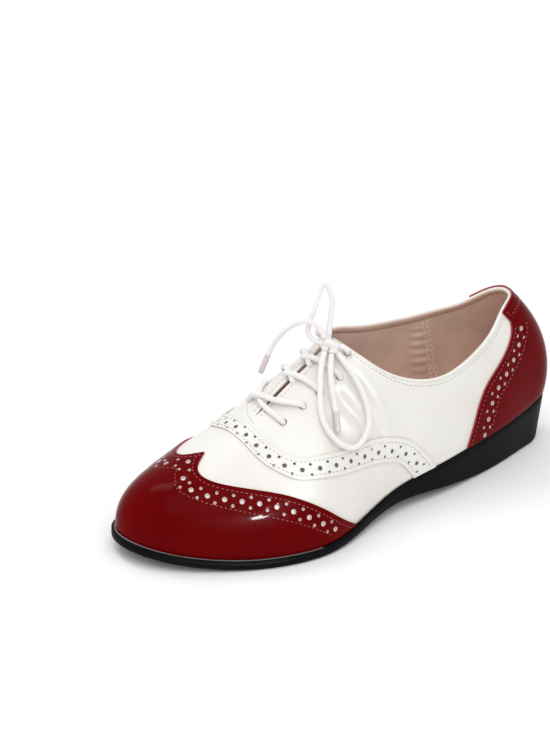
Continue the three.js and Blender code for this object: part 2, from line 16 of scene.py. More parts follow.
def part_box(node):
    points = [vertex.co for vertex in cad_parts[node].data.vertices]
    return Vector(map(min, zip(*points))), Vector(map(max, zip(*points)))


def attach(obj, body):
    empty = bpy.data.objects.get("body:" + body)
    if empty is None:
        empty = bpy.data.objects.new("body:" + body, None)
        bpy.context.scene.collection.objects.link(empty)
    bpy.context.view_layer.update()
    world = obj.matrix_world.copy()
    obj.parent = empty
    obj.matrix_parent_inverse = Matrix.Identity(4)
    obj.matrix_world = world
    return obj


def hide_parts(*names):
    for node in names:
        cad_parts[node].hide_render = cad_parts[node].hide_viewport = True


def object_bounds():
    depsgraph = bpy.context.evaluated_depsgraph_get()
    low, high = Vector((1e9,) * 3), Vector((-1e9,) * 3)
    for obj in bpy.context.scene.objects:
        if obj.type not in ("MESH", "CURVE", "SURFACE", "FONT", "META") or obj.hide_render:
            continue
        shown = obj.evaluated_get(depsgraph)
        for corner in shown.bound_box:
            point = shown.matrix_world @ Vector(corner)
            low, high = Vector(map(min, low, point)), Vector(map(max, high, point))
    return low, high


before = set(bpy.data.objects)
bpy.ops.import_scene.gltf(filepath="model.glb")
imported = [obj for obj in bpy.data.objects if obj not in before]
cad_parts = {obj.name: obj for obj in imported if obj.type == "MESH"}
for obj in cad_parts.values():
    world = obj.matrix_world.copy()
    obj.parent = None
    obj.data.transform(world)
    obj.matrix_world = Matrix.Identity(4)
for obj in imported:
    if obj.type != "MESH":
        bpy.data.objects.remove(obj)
cad_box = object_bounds()

MM = 0.001

# Driving sizes of the last and the upper
LAST_LENGTH = 248.6
BALL_WIDTH = 87
INSTEP_HEIGHT = 88
HEEL_LEAN = 25
HEEL_BULGE = 3.1
LEAN_HEIGHT = 58
BACK_HEIGHT = 86
SIDE_HEIGHT = 63
THROAT_GAP = 2.6
WALL = 1.8
TAB_HEIGHT = 5.5
EYELET_DIAMETER = 3.8
LACE_DIAMETER = 2.8

# Driving sizes of the sole and the insole
HEEL_THICKNESS = 29
FOREPART_THICKNESS = 5
ARCH_RISE = 5
TOE_SPRING = 6.5
HEEL_BEVEL = 3
WELT_REACH = 3
HEEL_TUCK = 2
TREAD_ROUND = 1.4
INSOLE_THICKNESS = 2.5

# Sizes that only the looks need
LEATHER = 1.0
OVERLAY_TOP = 1.05
OVERLAY_BOTTOM = 0.12
BIG_HOLE = 2.2
SMALL_HOLE = 1.3
SMALL_OFFSET = 2.5
STITCH_PITCH = 2.3
STITCH_LENGTH = 1.5
SEAM_INSET = 0.8
THREAD = 0.42
FINE_STITCH = (1.2, 0.32)
ZIGZAG_STITCH = (2.7, 0.75)
LACE_CLEAR = 0.3
LACE_OVER = 0.9
LACE_BEND = 2.4
LACE_BEYOND = 0.45
LACE_DEPTHS = (-3.2, -2.2, -1.2)
TOP_LACE_DEPTHS = (-3, -1.5)
BRAID_RIBS = 6
BRAID_PITCH = 1.5
BRAID_DEPTH = 0.12
DIVE_AHEAD = 0.011
CROSSING_REACH = 0.05
KNOT_SPREAD = 1.3
KNOT_WRAP = 2.7
KNOT_PITCH = 1.1
KNOT_WOUND = (-0.7, 2.1)
TIP_LENGTH = 12
SEAT_GAP = 0.3
BINDING_SWELL = 0.16
BINDING_HEIGHT = 0.8
BINDING_SEAT = 0.35
LINING_BAND = 3.2
RING_COLUMNS = 210
UPPER_ROWS = 48
LINING_ROWS = 72
LINING_DROP = 0.5
LINING_GAP = 0.03
ROW_CROWDING = 1.15
EDGE_DROPS = (0.4, 0.12, 0)
EDGE_TUCKS = (0, -0.1, -0.35)
PUNCH_REACH = (3, 5)
PUNCH_SIDES = 20
FOLDS_AHEAD = 0.026
FOLD_WIDTH = 0.017
FOLD_PITCH = 5.4
FOLD_DEPTH = 0.62
FOLD_SLANT = 25
ZIGZAG_AT = 0.216
ZIGZAG_LEAN = 0.078
ZIGZAG_HEAD = 0.5
ZIGZAG_APART = 0.0042
ZIGZAG_SWING = 0.0034
ZIGZAG_RISES = (0.03, 0.02, 0.024)
# The sole's top rows at the front are painted a lighter grey as a highlight: from this share of the length
# forward, over this many rows on each side
HIGHLIGHT_FROM = 0.68
HIGHLIGHT_ROWS = 4
BEAD_AT = 1.1
BEAD_INSET = 1.3
SIDE_FROM = 1.55
TREAD_MARGIN = 2.5
INSOLE_CLEAR = 0.6
INSOLE_ROUND = 0.7
INSOLE_DISH = 0.5

# Places along the shoe, as shares of its length
THROAT_FOOT = 0.712
SLIT_OPENS = 0.655
SLIT_FOOT = 0.8
ARCH_FROM = 0.18
ARCH_TO = 0.7
SPRING_FROM = 0.78
LEAN_TO = 0.34
BEVEL_TO = 0.05
TUCK_TO = 0.5
WELT_FROM = 0.3
WELT_TO = 0.8
HEEL_WELT = 0.2
COLLAR_END = 0.41

# at, outer, inner, wedge, ridge, bulge, wall, crown and shift of each section of the last, as shares
# of the ball width, the heel's extra thickness and the instep height
SECTIONS = np.array(
    [
        [0.0, 0.032, 0.032, 1.0, 0.98, 0.05, 0.35, 0.5, 0],
        [0.03, 0.19, -0.135, 0.97, 1.02, 0.06, 0.35, 0.5, 0],
        [0.08, 0.237, -0.215, 0.84, 1.094, 0.07, 0.35, 0.5, 0],
        [0.16, 0.297, -0.293, 0.74, 1.11, 0.08, 0.35, 0.48, -0.01],
        [0.26, 0.351, -0.335, 0.61, 1.085, 0.08, 0.35, 0.45, -0.03],
        [0.36, 0.386, -0.345, 0.39, 1.04, 0.08, 0.36, 0.42, -0.045],
        [0.46, 0.392, -0.37, 0.17, 0.991, 0.07, 0.38, 0.38, -0.045],
        [0.55, 0.453, -0.414, 0.04, 0.842, 0.06, 0.42, 0.37, -0.036],
        [0.64, 0.522, -0.471, 0, 0.716, 0.07, 0.46, 0.42, -0.034],
        [0.72, 0.52, -0.48, 0, 0.56, 0.08, 0.5, 0.5, -0.04],
        [0.8, 0.456, -0.452, 0, 0.455, 0.09, 0.54, 0.56, -0.034],
        [0.88, 0.345, -0.375, 0, 0.371, 0.1, 0.56, 0.6, -0.023],
        [0.95, 0.201, -0.275, 0, 0.268, 0.12, 0.58, 0.62, -0.011],
        [1.0, -0.069, -0.069, 0, 0, 0.12, 0.6, 0.62, 0],
    ]
).T

# The collar's edge: at, and its height on the outer and the inner side from the side's low point (0)
# to the back's height (1)
COLLAR = np.array(
    [
        [0.0, 1.0, 1.0], [0.04, 0.93, 0.77], [0.1, 0.66, 0.49], [0.18, 0.37, 0.36], [0.26, 0.13, 0.33],
        [0.34, 0.0, 0.42], [COLLAR_END, 0.13, 0.57], [0.47, 0.47, 0.78], [0.52, 0.94, 1.0],
        [0.56, 1.3, 1.3],
    ]
).T

# The toe cap's back edge as arch and share, up to the point on the ridge and down the inner side
CAP_EDGE_OUTER = np.array(
    [
        [0.0, 0.587], [0.12, 0.637], [0.21, 0.669], [0.32, 0.708], [0.41, 0.741], [0.5, 0.779],
        [0.58, 0.812], [0.67, 0.841], [0.76, 0.857], [0.86, 0.859], [0.94, 0.845], [1.0, 0.822],
    ]
).T
CAP_EDGE_INNER = np.array(
    [
        [1.0, 0.822], [1.06, 0.84], [1.14, 0.852], [1.24, 0.849], [1.34, 0.832], [1.44, 0.802],
        [1.54, 0.766], [1.68, 0.71], [1.79, 0.67], [1.88, 0.64], [2.0, 0.597],
    ]
).T

# How far the cap's row of holes and its inner seam lie in front of its edge: rise, then two shares
CAP_ROWS = np.array(
    [
        [0.0, 0.03, 0.05], [0.14, 0.033, 0.054], [0.3, 0.037, 0.074], [0.42, 0.045, 0.088],
        [0.53, 0.054, 0.083], [0.66, 0.045, 0.063], [0.78, 0.037, 0.053], [0.88, 0.03, 0.047],
        [1.0, 0.036, 0.06],
    ]
).T

# The perforated band's front and back edge, each as share and arch, from the sole to the ridge
BAND = np.array(
    [
        [0.418, 0.0, 0.364, 0.0], [0.456, 0.122, 0.409, 0.146], [0.496, 0.184, 0.447, 0.22],
        [0.537, 0.236, 0.489, 0.279], [0.593, 0.295, 0.541, 0.345], [0.643, 0.353, 0.598, 0.405],
        [0.689, 0.421, 0.65, 0.474], [0.719, 0.495, 0.692, 0.551], [0.744, 0.619, 0.715, 0.657],
        [0.755, 0.745, 0.727, 0.798], [0.757, 0.9, 0.728, 0.92], [0.757, 1.0, 0.728, 1.0],
    ]
).T

# The heel counter's front edge: its level from the feather line to the tab, and its share
COUNTER_EDGE = np.array(
    [
        [0.0, 0.276], [0.18, 0.268], [0.36, 0.257], [0.52, 0.245], [0.64, 0.23], [0.74, 0.205],
        [0.81, 0.165], [0.87, 0.122], [0.93, 0.088], [1.0, 0.07],
    ]
).T

# The lace holes, as share and rise, from the throat's foot up
EYELETS = [(0.683, 0.788), (0.64, 0.76), (0.6, 0.735), (0.553, 0.705), (0.522, 0.765)]

# The main creases as soft troughs: two ends as share and arch, half width and depth
CREASES = [
    (0.575, 0.653, 0.515, 0.311, 2.5, 3.2), (0.536, 0.637, 0.49, 0.271, 2.5, 2.6),
    (0.6, 0.62, 0.6, 0.42, 4.5, 0.4), (0.47, 0.2, 0.462, 0.06, 2.2, 0.35),
    (0.425, 0.3, 0.43, 0.12, 3.5, 0.25), (0.53, 1.38, 0.5, 1.72, 3.2, 0.6),
    (0.58, 1.36, 0.56, 1.66, 3.6, 0.5), (0.66, 1.45, 0.64, 1.68, 3.0, 0.4),
    (0.8, 1.1, 0.79, 0.9, 5.0, 0.15),
]

# How fast a crease fades at its ends and past them; the height, place and narrowness of the raised
# banks beside it, in half widths; and the share of the ridge's height that an arch's length takes in
CREASE_FADES = (1.2, 4)
CREASE_BANK = (0.45, 1.9, 1.3)
ARCH_SHARE = 0.55

# Where the lowest two laces pass on their way, as share and arch, each from its upper hole down
OVER_VIA = [(0.662, 0.87), (0.676, 1.0)]
UNDER_VIA = [(0.668, 1.16), (0.688, 0.99)]

# The bow's knot and the routes of its loops and ends, from the knot outwards
KNOT = (138, 5.6, 86.4)
LOOP_UP = [
    (136.3, 2.8, 89.4), (134.5, 0.4, 94.2), (132, -1.6, 100.3), (130.7, -3.1, 105.2),
    (130.9, -5.6, 110), (132.8, -7.6, 112.6), (136.2, -6.8, 107.8), (139.7, -5.4, 101.6),
    (142.1, -4.8, 96.8), (144.5, -3.4, 91.8), (143.3, -0.7, 88.5), (140.5, 2.1, 86.7),
]
LOOP_DOWN = [
    (141.4, 6.6, 84.8), (145.6, 10, 81.2), (148.6, 13.2, 76.9), (151.3, 16.9, 70.9),
    (153.4, 20.3, 65.3), (155, 24.8, 59.2), (153.9, 30.6, 53.3), (149.6, 34.5, 48.4),
    (143.6, 35.5, 45.9), (137.2, 34, 47.8), (132.2, 31.3, 53.1), (130.3, 26.7, 61.5),
    (131.6, 21.8, 70.2), (134.5, 15.6, 78.6), (136.1, 8.8, 83.7),
]
END_1 = [
    (139.5, 4.2, 89.9), (141.8, 0.9, 95.5), (145.2, -1.8, 98.2), (148.6, -6, 96.6), (150.9, -12, 91.2),
    (153.1, -16, 85.5), (154.8, -18.3, 80.2), (157.4, -19, 74), (161, -18.9, 67),
]
END_2 = [
    (139.2, 9, 83.9), (143.6, 14.4, 77.6), (145.7, 18.9, 70.9), (146.7, 22.6, 64.3), (148, 26.6, 58.3),
    (150, 30.2, 53),
]
TOP_OUTER = [
    (129.4, 8.6, 81.4), (130.7, 10.6, 83.6), (132.2, 10, 85.3), (134.3, 8.2, 86.3),
]
TOP_INNER = [
    (129.8, -12.3, 82), (130.8, -13.7, 83.3), (132.2, -10.4, 86.2), (133.4, -5.3, 87.3),
    (135.2, 2.1, 85.9),
]

# The seam round the facing's foot on the inner side: share and arch
FACING_FOOT = [
    (0.721, 0.938), (0.7175, 1.0), (0.711, 1.08), (0.7, 1.15), (0.684, 1.25), (0.668, 1.361),
    (0.645, 1.33), (0.623, 1.283), (0.608, 1.21),
]

# The sole's top and side: places out from the rim's bead, then from the side, each with its height
# over the top
BEAD_ROWS = [(-0.2, 0), (0, 0.16), (0.22, 0.21), (0.42, 0.1), (0.5, 0)]
SIDE_ROWS = [
    (-0.32, 0), (-0.1, -0.1), (0, -0.32), (0, -0.62), (-0.12, -0.8), (-0.34, -0.9), (-0.34, -1.15),
    (-0.1, -1.3),
]

# Where the overlays start and stop, and where their seams and rows of holes lie
CAP_SPACING = (0, 11.3, 8.15, 0.02)
BAND_SPACING = (2.0, 8.3, 8.3, 0.06)
COUNTER_SPACING = (9.6, 8.4, 8.4, 0)
CAP_TIP = 0.996
CAP_FOOT = 0.006
CAP_SEAM = 2.2
CAP_ROW_FOOT = 0.045
CAP_SEAM_FOOT = 0.03
CAP_INNER_FOOT = 0.05
HOLE_MARGIN = 1.0
BAND_FOOT = 0.04
BAND_MIDDLE = 0.45
BAND_SEAM = 0.17
BAND_SEAM_FOOT = 0.15
BAND_MARGIN = 3.0
BACKING_EDGES = (0.18, 0.82)
BACKING_FOOT = 0.1
BACKING_LIFTS = (0.1, 0.03)
HEEL_FOOT = 0.006
COUNTER_ROW_LOW = 11.6
COUNTER_ROW_HIGH = 6.6
COUNTER_ROW_STOP = 2.0
COUNTER_SEAM = 2.0
COUNTER_SECOND = 4.6
COUNTER_ROW_ENDS = (0.02, 0.97)
COUNTER_ROW_FOOT = 0.015
SECOND_FOOT = 0.02
SEAM_STOP = 1.5
SECOND_STOP = 3.0
TAB_GAP = 0.5
TAB_SEAM = 0.22
TAB_BAR = 0.012
TAB_BAR_GAPS = (0.006, 0.004)
COLLAR_SEAM = 3.0
THROAT_SEAM = 2.4
THROAT_SEAM_FROM = 0.56
THROAT_SEAM_GAP = 0.004
CORNER_GAP = 0.006
TAB_PROUD = 0.1

# The meshes of the overlays: spacings in each chart, about how many millimetres its units are, and
# how far the inner points keep from borders and holes
CAP_GRID = (0.0082, 0.036)
CAP_SCALE = (276.0, 62.0)
BAND_GRID = (0.3, 0.2)
BAND_SCALE = (7.0, 10.0)
COUNTER_GRID = (0.013, 0.03)
TAB_GRID = (0.013, 0.02)
HEEL_SCALE = (170.0, 80.0)
RIM_RADIUS = 0.28
BIG_SIDES = 18
SMALL_SIDES = 12
BORDER_CLEAR = 0.62
HOLE_CLEAR = 0.5

# The stage: each light's place and size in metres, its power in watts, and whether it lights more
# than the gloss
FLOOR_SIZE = 3
FLOOR_GAP = 0.0002
LIGHT_AIM = (0, 0, 0.04)
WORLD_LIGHT = 0.82
LIGHTS = {
    "glint": ((0.25, 1.24, 0.71), (0.12, 0.1), 26, False),
    "window": ((0.27, -0.72, 1.35), (0.28, 0.6), 3.5, True),
    "top": ((0.5, 0.6, 1.8), (1.4, 1.4), 10.5, True),
}

# The camera round a target on the last
CAMERA_TARGET = (140.85, -33.93, 58.71)
CAMERA_AZIMUTH = 143.35
CAMERA_ELEVATION = 27.23
CAMERA_ROLL = 1.68
CAMERA_DISTANCE = 1299.3
FOCAL_PIXELS = 2620.6
IMAGE_HEIGHT = 733
SENSOR = 36


def smooth_curve(xs, ys, level_start=False, level_end=False):
    """A cubic spline through values, each end level or straight."""
    xs = np.asarray(xs, float)
    ys = np.asarray(ys, float)
    count = len(xs)
    step = np.diff(xs)
    slope = np.diff(ys) / step
    matrix = np.eye(count)
    load = np.zeros(count)
    for i in range(1, count - 1):
        matrix[i, i - 1 : i + 2] = step[i - 1], 2 * (step[i - 1] + step[i]), step[i]
        load[i] = 6 * (slope[i] - slope[i - 1])
    if level_start:
        matrix[0, :2] = 2 * step[0], step[0]
        load[0] = 6 * slope[0]
    if level_end:
        matrix[-1, -2:] = step[-1], 2 * step[-1]
        load[-1] = -6 * slope[-1]
    bend = np.linalg.solve(matrix, load)

    def value(x):
        x = np.clip(np.asarray(x, float), xs[0], xs[-1])
        i = np.clip(np.searchsorted(xs, x, side="right") - 1, 0, count - 2)
        h = step[i]
        a = xs[i + 1] - x
        b = x - xs[i]
        cubic = (bend[i] * a**3 + bend[i + 1] * b**3) / (6 * h)
        return cubic + (ys[i] / h - bend[i] * h / 6) * a + (ys[i + 1] / h - bend[i + 1] * h / 6) * b

    return value


def smoothstep(value, low, high):
    share = np.clip((value - low) / (high - low), 0, 1)
    return share * share * (3 - 2 * share)


def turn_of(share):
    return np.arccos(1 - 2 * np.asarray(share, float)) / np.pi


def share_of(turn):
    return (1 - np.cos(np.pi * turn)) / 2


def pairs(first, second):
    """Two rows of numbers, or a row and one number, as places in a chart"""
    return np.stack(np.broadcast_arrays(first, second), axis=-1)


def even_angles(count):
    return np.arange(count) * 2 * math.pi / count


def circle(angles, first, second):
    """Directions at angles from one direction towards another"""
    return np.cos(angles)[:, None] * first + np.sin(angles)[:, None] * second


def split_sign(signed):
    """The turn and the side that a signed turn stands for"""
    return np.abs(signed), np.where(signed >= 0, 1.0, -1.0)


def ring_faces(rings, sides):
    """The faces between rings of points, one after the other"""
    faces = []
    for i in range(rings - 1):
        for j in range(sides):
            a = i * sides + j
            b = i * sides + (j + 1) % sides
            faces.append((a, b, b + sides, a + sides))
    return faces


def end_faces(rings, sides):
    last = (rings - 1) * sides
    return [tuple(range(sides - 1, -1, -1)), tuple(last + i for i in range(sides))]


def add_object(name, data):
    obj = bpy.data.objects.new(name, data)
    bpy.context.scene.collection.objects.link(obj)
    return obj


def unit(vectors):
    return vectors / np.maximum(np.linalg.norm(vectors, axis=-1, keepdims=True), 1e-12)


def run_along(points):
    """The length of a line of points up to each of them"""
    return np.concatenate([[0], np.cumsum(np.linalg.norm(np.diff(points, axis=0), axis=1))])


def at_lengths(line, run, lengths):
    """Points at some lengths along a line"""
    return np.stack([np.interp(lengths, run, column) for column in line.T], axis=-1)


def side_and_rise(arch):
    """The side and the rise that an arch stands for"""
    outside = arch <= 1
    return np.where(outside, 1.0, -1.0), np.where(outside, arch, 2 - arch)


section_turns = turn_of(SECTIONS[0])
half_width = smooth_curve(section_turns, (SECTIONS[1] - SECTIONS[2]) / 2 * BALL_WIDTH)
middle = smooth_curve(section_turns, (SECTIONS[1] + SECTIONS[2]) / 2 * BALL_WIDTH, True, True)
wedge = smooth_curve(section_turns, SECTIONS[3], True, True)
ridge = smooth_curve(section_turns, SECTIONS[4] * INSTEP_HEIGHT, True, False)
bulge = smooth_curve(section_turns, SECTIONS[5], True, True)
side_wall = smooth_curve(section_turns, SECTIONS[6], True, True)
crown = smooth_curve(section_turns, SECTIONS[7], True, True)
ridge_shift = smooth_curve(section_turns, SECTIONS[8] * BALL_WIDTH, True, True)

collar_turns = turn_of(COLLAR[0])
collar_heights = SIDE_HEIGHT + (BACK_HEIGHT - SIDE_HEIGHT) * COLLAR[1:]
outer_collar = smooth_curve(collar_turns, collar_heights[0], True, False)
inner_collar = smooth_curve(collar_turns, collar_heights[1], True, False)


def tread_height(turn):
    share = share_of(turn)
    along = np.clip((share - ARCH_FROM) / (ARCH_TO - ARCH_FROM), 0, 1)
    lift = np.maximum(share - SPRING_FROM, 0) / (1 - SPRING_FROM)
    return ARCH_RISE * np.sin(np.pi * along) ** 2 + TOE_SPRING * lift**2


def feather_height(turn):
    """Height of the line where the upper meets the sole"""
    extra = HEEL_THICKNESS - FOREPART_THICKNESS
    return tread_height(turn) + FOREPART_THICKNESS + extra * wedge(turn)


def skin(turn, side, rise):
    """Points of the last's skin: side is 1 outside and -1 inside, rise 0 at the feather line."""
    share = share_of(turn)
    half = np.maximum(half_width(turn), 0)
    foot = feather_height(turn)
    height = np.maximum(ridge(turn), 0)
    rest = 1 - rise
    low = 3 * rest * rest * rise
    high = 3 * rest * rise * rise
    top = rise**3
    out = rest**3 + low * (1 + bulge(turn)) + high * crown(turn)
    z = foot + height * (low * side_wall(turn) + high + top)
    fade = smoothstep(1 - share / LEAN_TO, 0, 1)
    up = (z - foot) / LEAN_HEIGHT
    x = LAST_LENGTH * share + fade * (HEEL_LEAN * up * up - 4 * HEEL_BULGE * up * (1 - up))
    y = middle(turn) + side * half * out + ridge_shift(turn) * (high + top)
    return np.stack([x, y, z], axis=-1)


def skin_normal(turn, side, rise):
    tiny = 1e-3
    turn = np.clip(turn, 0, 1 - 2 * tiny)
    along = skin(turn + tiny, side, rise) - skin(np.maximum(turn - tiny, 0), side, rise)
    low = np.clip(rise - tiny, 0, 1 - 2 * tiny)
    across = skin(turn, side, low + 2 * tiny) - skin(turn, side, low)
    level = np.stack([0 * turn, -side, 0 * turn], axis=-1)
    across = np.where((rise > 1 - tiny)[..., None], level, across)
    return unit(np.cross(across, along) * side[..., None])


def crease_depth(turn, arch):
    """How far the creases push the leather in or, beside each trough, out"""
    x = LAST_LENGTH * share_of(turn)
    total = 0 * x
    end_fade, far_fade = CREASE_FADES
    bank, bank_at, bank_narrow = CREASE_BANK
    for at_1, arch_1, at_2, arch_2, wide, depth in CREASES:
        scale = half_width(turn_of(at_1)) + ridge(turn_of(at_1)) * ARCH_SHARE
        start = np.array([LAST_LENGTH * at_1, scale * arch_1])
        run = np.array([LAST_LENGTH * at_2, scale * arch_2]) - start
        length = np.linalg.norm(run)
        dx = x - start[0]
        dy = scale * arch - start[1]
        along = (dx * run[0] + dy * run[1]) / length**2
        across = (dx * run[1] - dy * run[0]) / length / wide
        off = 2 * along - 1
        window = np.exp(-(off**4) * end_fade) * np.exp(-np.maximum(np.abs(off) - 1, 0) * far_fade)
        wave = np.exp(-(across**2)) - bank * np.exp(-((np.abs(across) - bank_at) ** 2) * bank_narrow)
        total = total - depth * window * wave
    return total


def surface(turn, arch, lift=0.0):
    """Points at a height over the leather's outer face, with its creases"""
    turn, arch, lift = np.broadcast_arrays(
        np.asarray(turn, float), np.asarray(arch, float), np.asarray(lift, float)
    )
    side, rise = side_and_rise(arch)
    height = lift + crease_depth(turn, arch)
    return skin(turn, side, rise) + skin_normal(turn, side, rise) * height[..., None]


def rise_at(turn, side, height):
    """The rise at which the skin reaches a height"""
    low = 0 * turn
    high = 0 * turn + 1
    for _ in range(32):
        rise = (low + high) / 2
        below = skin(turn, side, rise)[..., 2] < height
        low = np.where(below, rise, low)
        high = np.where(below, high, rise)
    return (low + high) / 2


def collar_at(turn, side):
    return np.where(side > 0, outer_collar(turn), inner_collar(turn))


def slit_width(turn):
    """The throat's width: a closed seam at its foot, opening upwards"""
    share = share_of(turn)
    return SLIT_FOOT + (THROAT_GAP - SLIT_FOOT) * smoothstep(THROAT_FOOT - share, 0, THROAT_FOOT - SLIT_OPENS)


def throat_rise(turn):
    """The rise at which the leather stops beside the slit"""
    wide = np.maximum(3 * crown(turn) * half_width(turn), 1)
    return 1 - slit_width(turn) / 2 / wide


def edge_rise(turn, side):
    """The rise of the upper's open edge: the collar, then the throat, then the closed ridge"""
    share = share_of(turn)
    collar = rise_at(turn, side, collar_at(turn, side))
    open_edge = np.where(share < COLLAR_END, collar, np.minimum(collar, throat_rise(turn)))
    return np.where(share >= THROAT_FOOT - 1e-6, 1.0, open_edge)


# The shoe's place in the frame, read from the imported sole: its sides lie evenly about the middle
fine_turns = np.linspace(0, 1, 721)


def welt_reach(turn):
    """The sole's reach past the feather line"""
    return WELT_REACH * (HEEL_WELT + (1 - HEEL_WELT) * smoothstep(share_of(turn), WELT_FROM, WELT_TO))


def beside_feather(turn, side, distance, height):
    """Points beside the feather line, at a distance out from it in plan"""
    tiny = 1e-3
    turn, side, distance, height = np.broadcast_arrays(turn, side, distance, height)
    level = np.zeros(turn.shape)
    ahead = skin(np.minimum(turn + tiny, 1), side, level) - skin(np.maximum(turn - tiny, 0), side, level)
    ahead[..., 0] = np.where((turn <= 0) | (turn >= 1), 0, ahead[..., 0])
    out = unit(np.stack([-ahead[..., 1], ahead[..., 0], level], axis=-1))
    point = skin(turn, side, level) + out * (side * distance)[..., None]
    point[..., 2] = height
    return point


sole_low, sole_high = (np.array(corner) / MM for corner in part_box("sole"))
outline = np.concatenate([beside_feather(fine_turns, s, welt_reach(fine_turns), 0) for s in (1, -1)])
origin = np.array(
    [
        sole_low[0] - outline[:, 0].min(),
        (sole_low[1] + sole_high[1] - outline[:, 1].min() - outline[:, 1].max()) / 2,
        0,
    ]
)


def to_frame(point):
    """A point of the last as metres in the frame"""
    return Vector((np.asarray(point, float) + origin) * MM)


# Camera
def make_camera():
    azimuth = math.radians(CAMERA_AZIMUTH)
    elevation = math.radians(CAMERA_ELEVATION)
    back = Vector(
        (
            math.sin(azimuth) * math.cos(elevation),
            -math.cos(azimuth) * math.cos(elevation),
            math.sin(elevation),
        )
    )
    data = bpy.data.cameras.new("camera")
    data.sensor_width = SENSOR
    data.lens = FOCAL_PIXELS / IMAGE_HEIGHT * SENSOR
    data.clip_end = 20
    camera = add_object("camera", data)
    turned = back.to_track_quat("Z", "Y") @ Matrix.Rotation(math.radians(CAMERA_ROLL), 3, "Z").to_quaternion()
    camera.rotation_mode = "QUATERNION"
    camera.rotation_quaternion = turned
    camera.location = to_frame(CAMERA_TARGET) + back * CAMERA_DISTANCE * MM
    bpy.context.scene.camera = camera


# Materials
def new_material(name):
    """A material, its shader, and a function that adds a node with values and links by input name"""
    material = bpy.data.materials.new(name)
    material.use_nodes = True
    tree = material.node_tree
    shader = tree.nodes["Principled BSDF"]

    def add(kind, inputs=None, **settings):
        node = tree.nodes.new(kind)
        for key, value in settings.items():
            setattr(node, key, value)
        for key, value in (inputs or {}).items():
            if isinstance(value, bpy.types.NodeSocket):
                tree.links.new(value, node.inputs[key])
            else:
                node.inputs[key].default_value = value
        return node

    def link(socket, name):
        tree.links.new(socket, shader.inputs[name])

    return material, shader, add, link


def ramp(add, socket, low, high, low_to=0.0, high_to=1.0):
    """A value moved from one range to another and clamped there"""
    inputs = {"Value": socket, "From Min": low, "From Max": high, "To Min": low_to, "To Max": high_to}
    return add("ShaderNodeMapRange", inputs).outputs["Result"]


def tint(add, factor, first, second):
    """A colour between two, by a factor"""
    node = add("ShaderNodeMix", {"Factor": factor}, data_type="RGBA")
    node.inputs[6].default_value = (*first, 1)
    node.inputs[7].default_value = (*second, 1)
    return node.outputs[2]


def leather_grain(add, coords, cell, strength, waviness):
    """A pebbled grain over soft waves, as a bump"""
    cells = add("ShaderNodeTexVoronoi", {"Vector": coords, "Scale": 1 / (cell * MM)}, feature="SMOOTH_F1")
    fine = add("ShaderNodeTexNoise", {"Vector": coords, "Scale": 0.6 / (cell * MM), "Detail": 4})
    height = add(
        "ShaderNodeMath",
        {0: cells.outputs["Distance"], 1: fine.outputs["Fac"]},
        operation="ADD",
    )
    grain = add(
        "ShaderNodeBump",
        {"Height": height.outputs[0], "Strength": strength, "Distance": cell * MM * 0.25},
    )
    waves = add("ShaderNodeTexNoise", {"Vector": coords, "Scale": 1 / (14 * MM), "Detail": 2})
    return add(
        "ShaderNodeBump",
        {
            "Height": waves.outputs["Fac"],
            "Strength": waviness,
            "Distance": 0.6 * MM,
            "Normal": grain.outputs["Normal"],
        },
    ).outputs["Normal"]


def set_inputs(shader, values):
    for name, value in values.items():
        shader.inputs[name].default_value = value


def patchy(name, scale, detail, colours, roughness, grain):
    """A material with faint patches of two colours and two roughnesses, under a grain"""
    material, shader, add, link = new_material(name)
    coords = add("ShaderNodeTexCoord").outputs["Object"]
    noise = {"Vector": coords, "Scale": scale, "Detail": detail}
    patches = add("ShaderNodeTexNoise", noise).outputs["Fac"]
    link(tint(add, ramp(add, patches, 0.35, 0.7), *colours), "Base Color")
    link(ramp(add, patches, 0.3, 0.7, *roughness), "Roughness")
    link(leather_grain(add, coords, *grain), "Normal")
    return material, shader


def make_white_leather():
    colours = (0.815, 0.8, 0.755), (0.755, 0.735, 0.685)
    material, shader = patchy("white_leather", 30.0, 5, colours, (0.4, 0.52), (0.7, 0.16, 0.12))
    set_inputs(shader, {"Coat Weight": 0.05, "Coat Roughness": 0.25, "Subsurface Weight": 0.05})
    set_inputs(shader, {"Subsurface Radius": (0.001, 0.0008, 0.0006)})
    return material


def make_red_patent():
    colours = (0.13, 0.0004, 0.0012), (0.112, 0.0003, 0.0009)
    material, shader = patchy("red_patent", 45.0, 4, colours, (0.3, 0.4), (1.1, 0.02, 0.1))
    set_inputs(shader, {"Specular IOR Level": 0.01, "Coat Weight": 1.0})
    set_inputs(shader, {"Coat Roughness": 0.06, "Coat IOR": 1.075})
    return material


def make_plain(name, colours, roughness, cell, strength, gloss=0.5):
    """A fine-grained material between two colours"""
    rough = roughness - 0.06, roughness + 0.06
    material, shader = patchy(name, 60.0, 5, colours, rough, (cell, strength, 0.1))
    set_inputs(shader, {"Specular IOR Level": gloss})
    return material


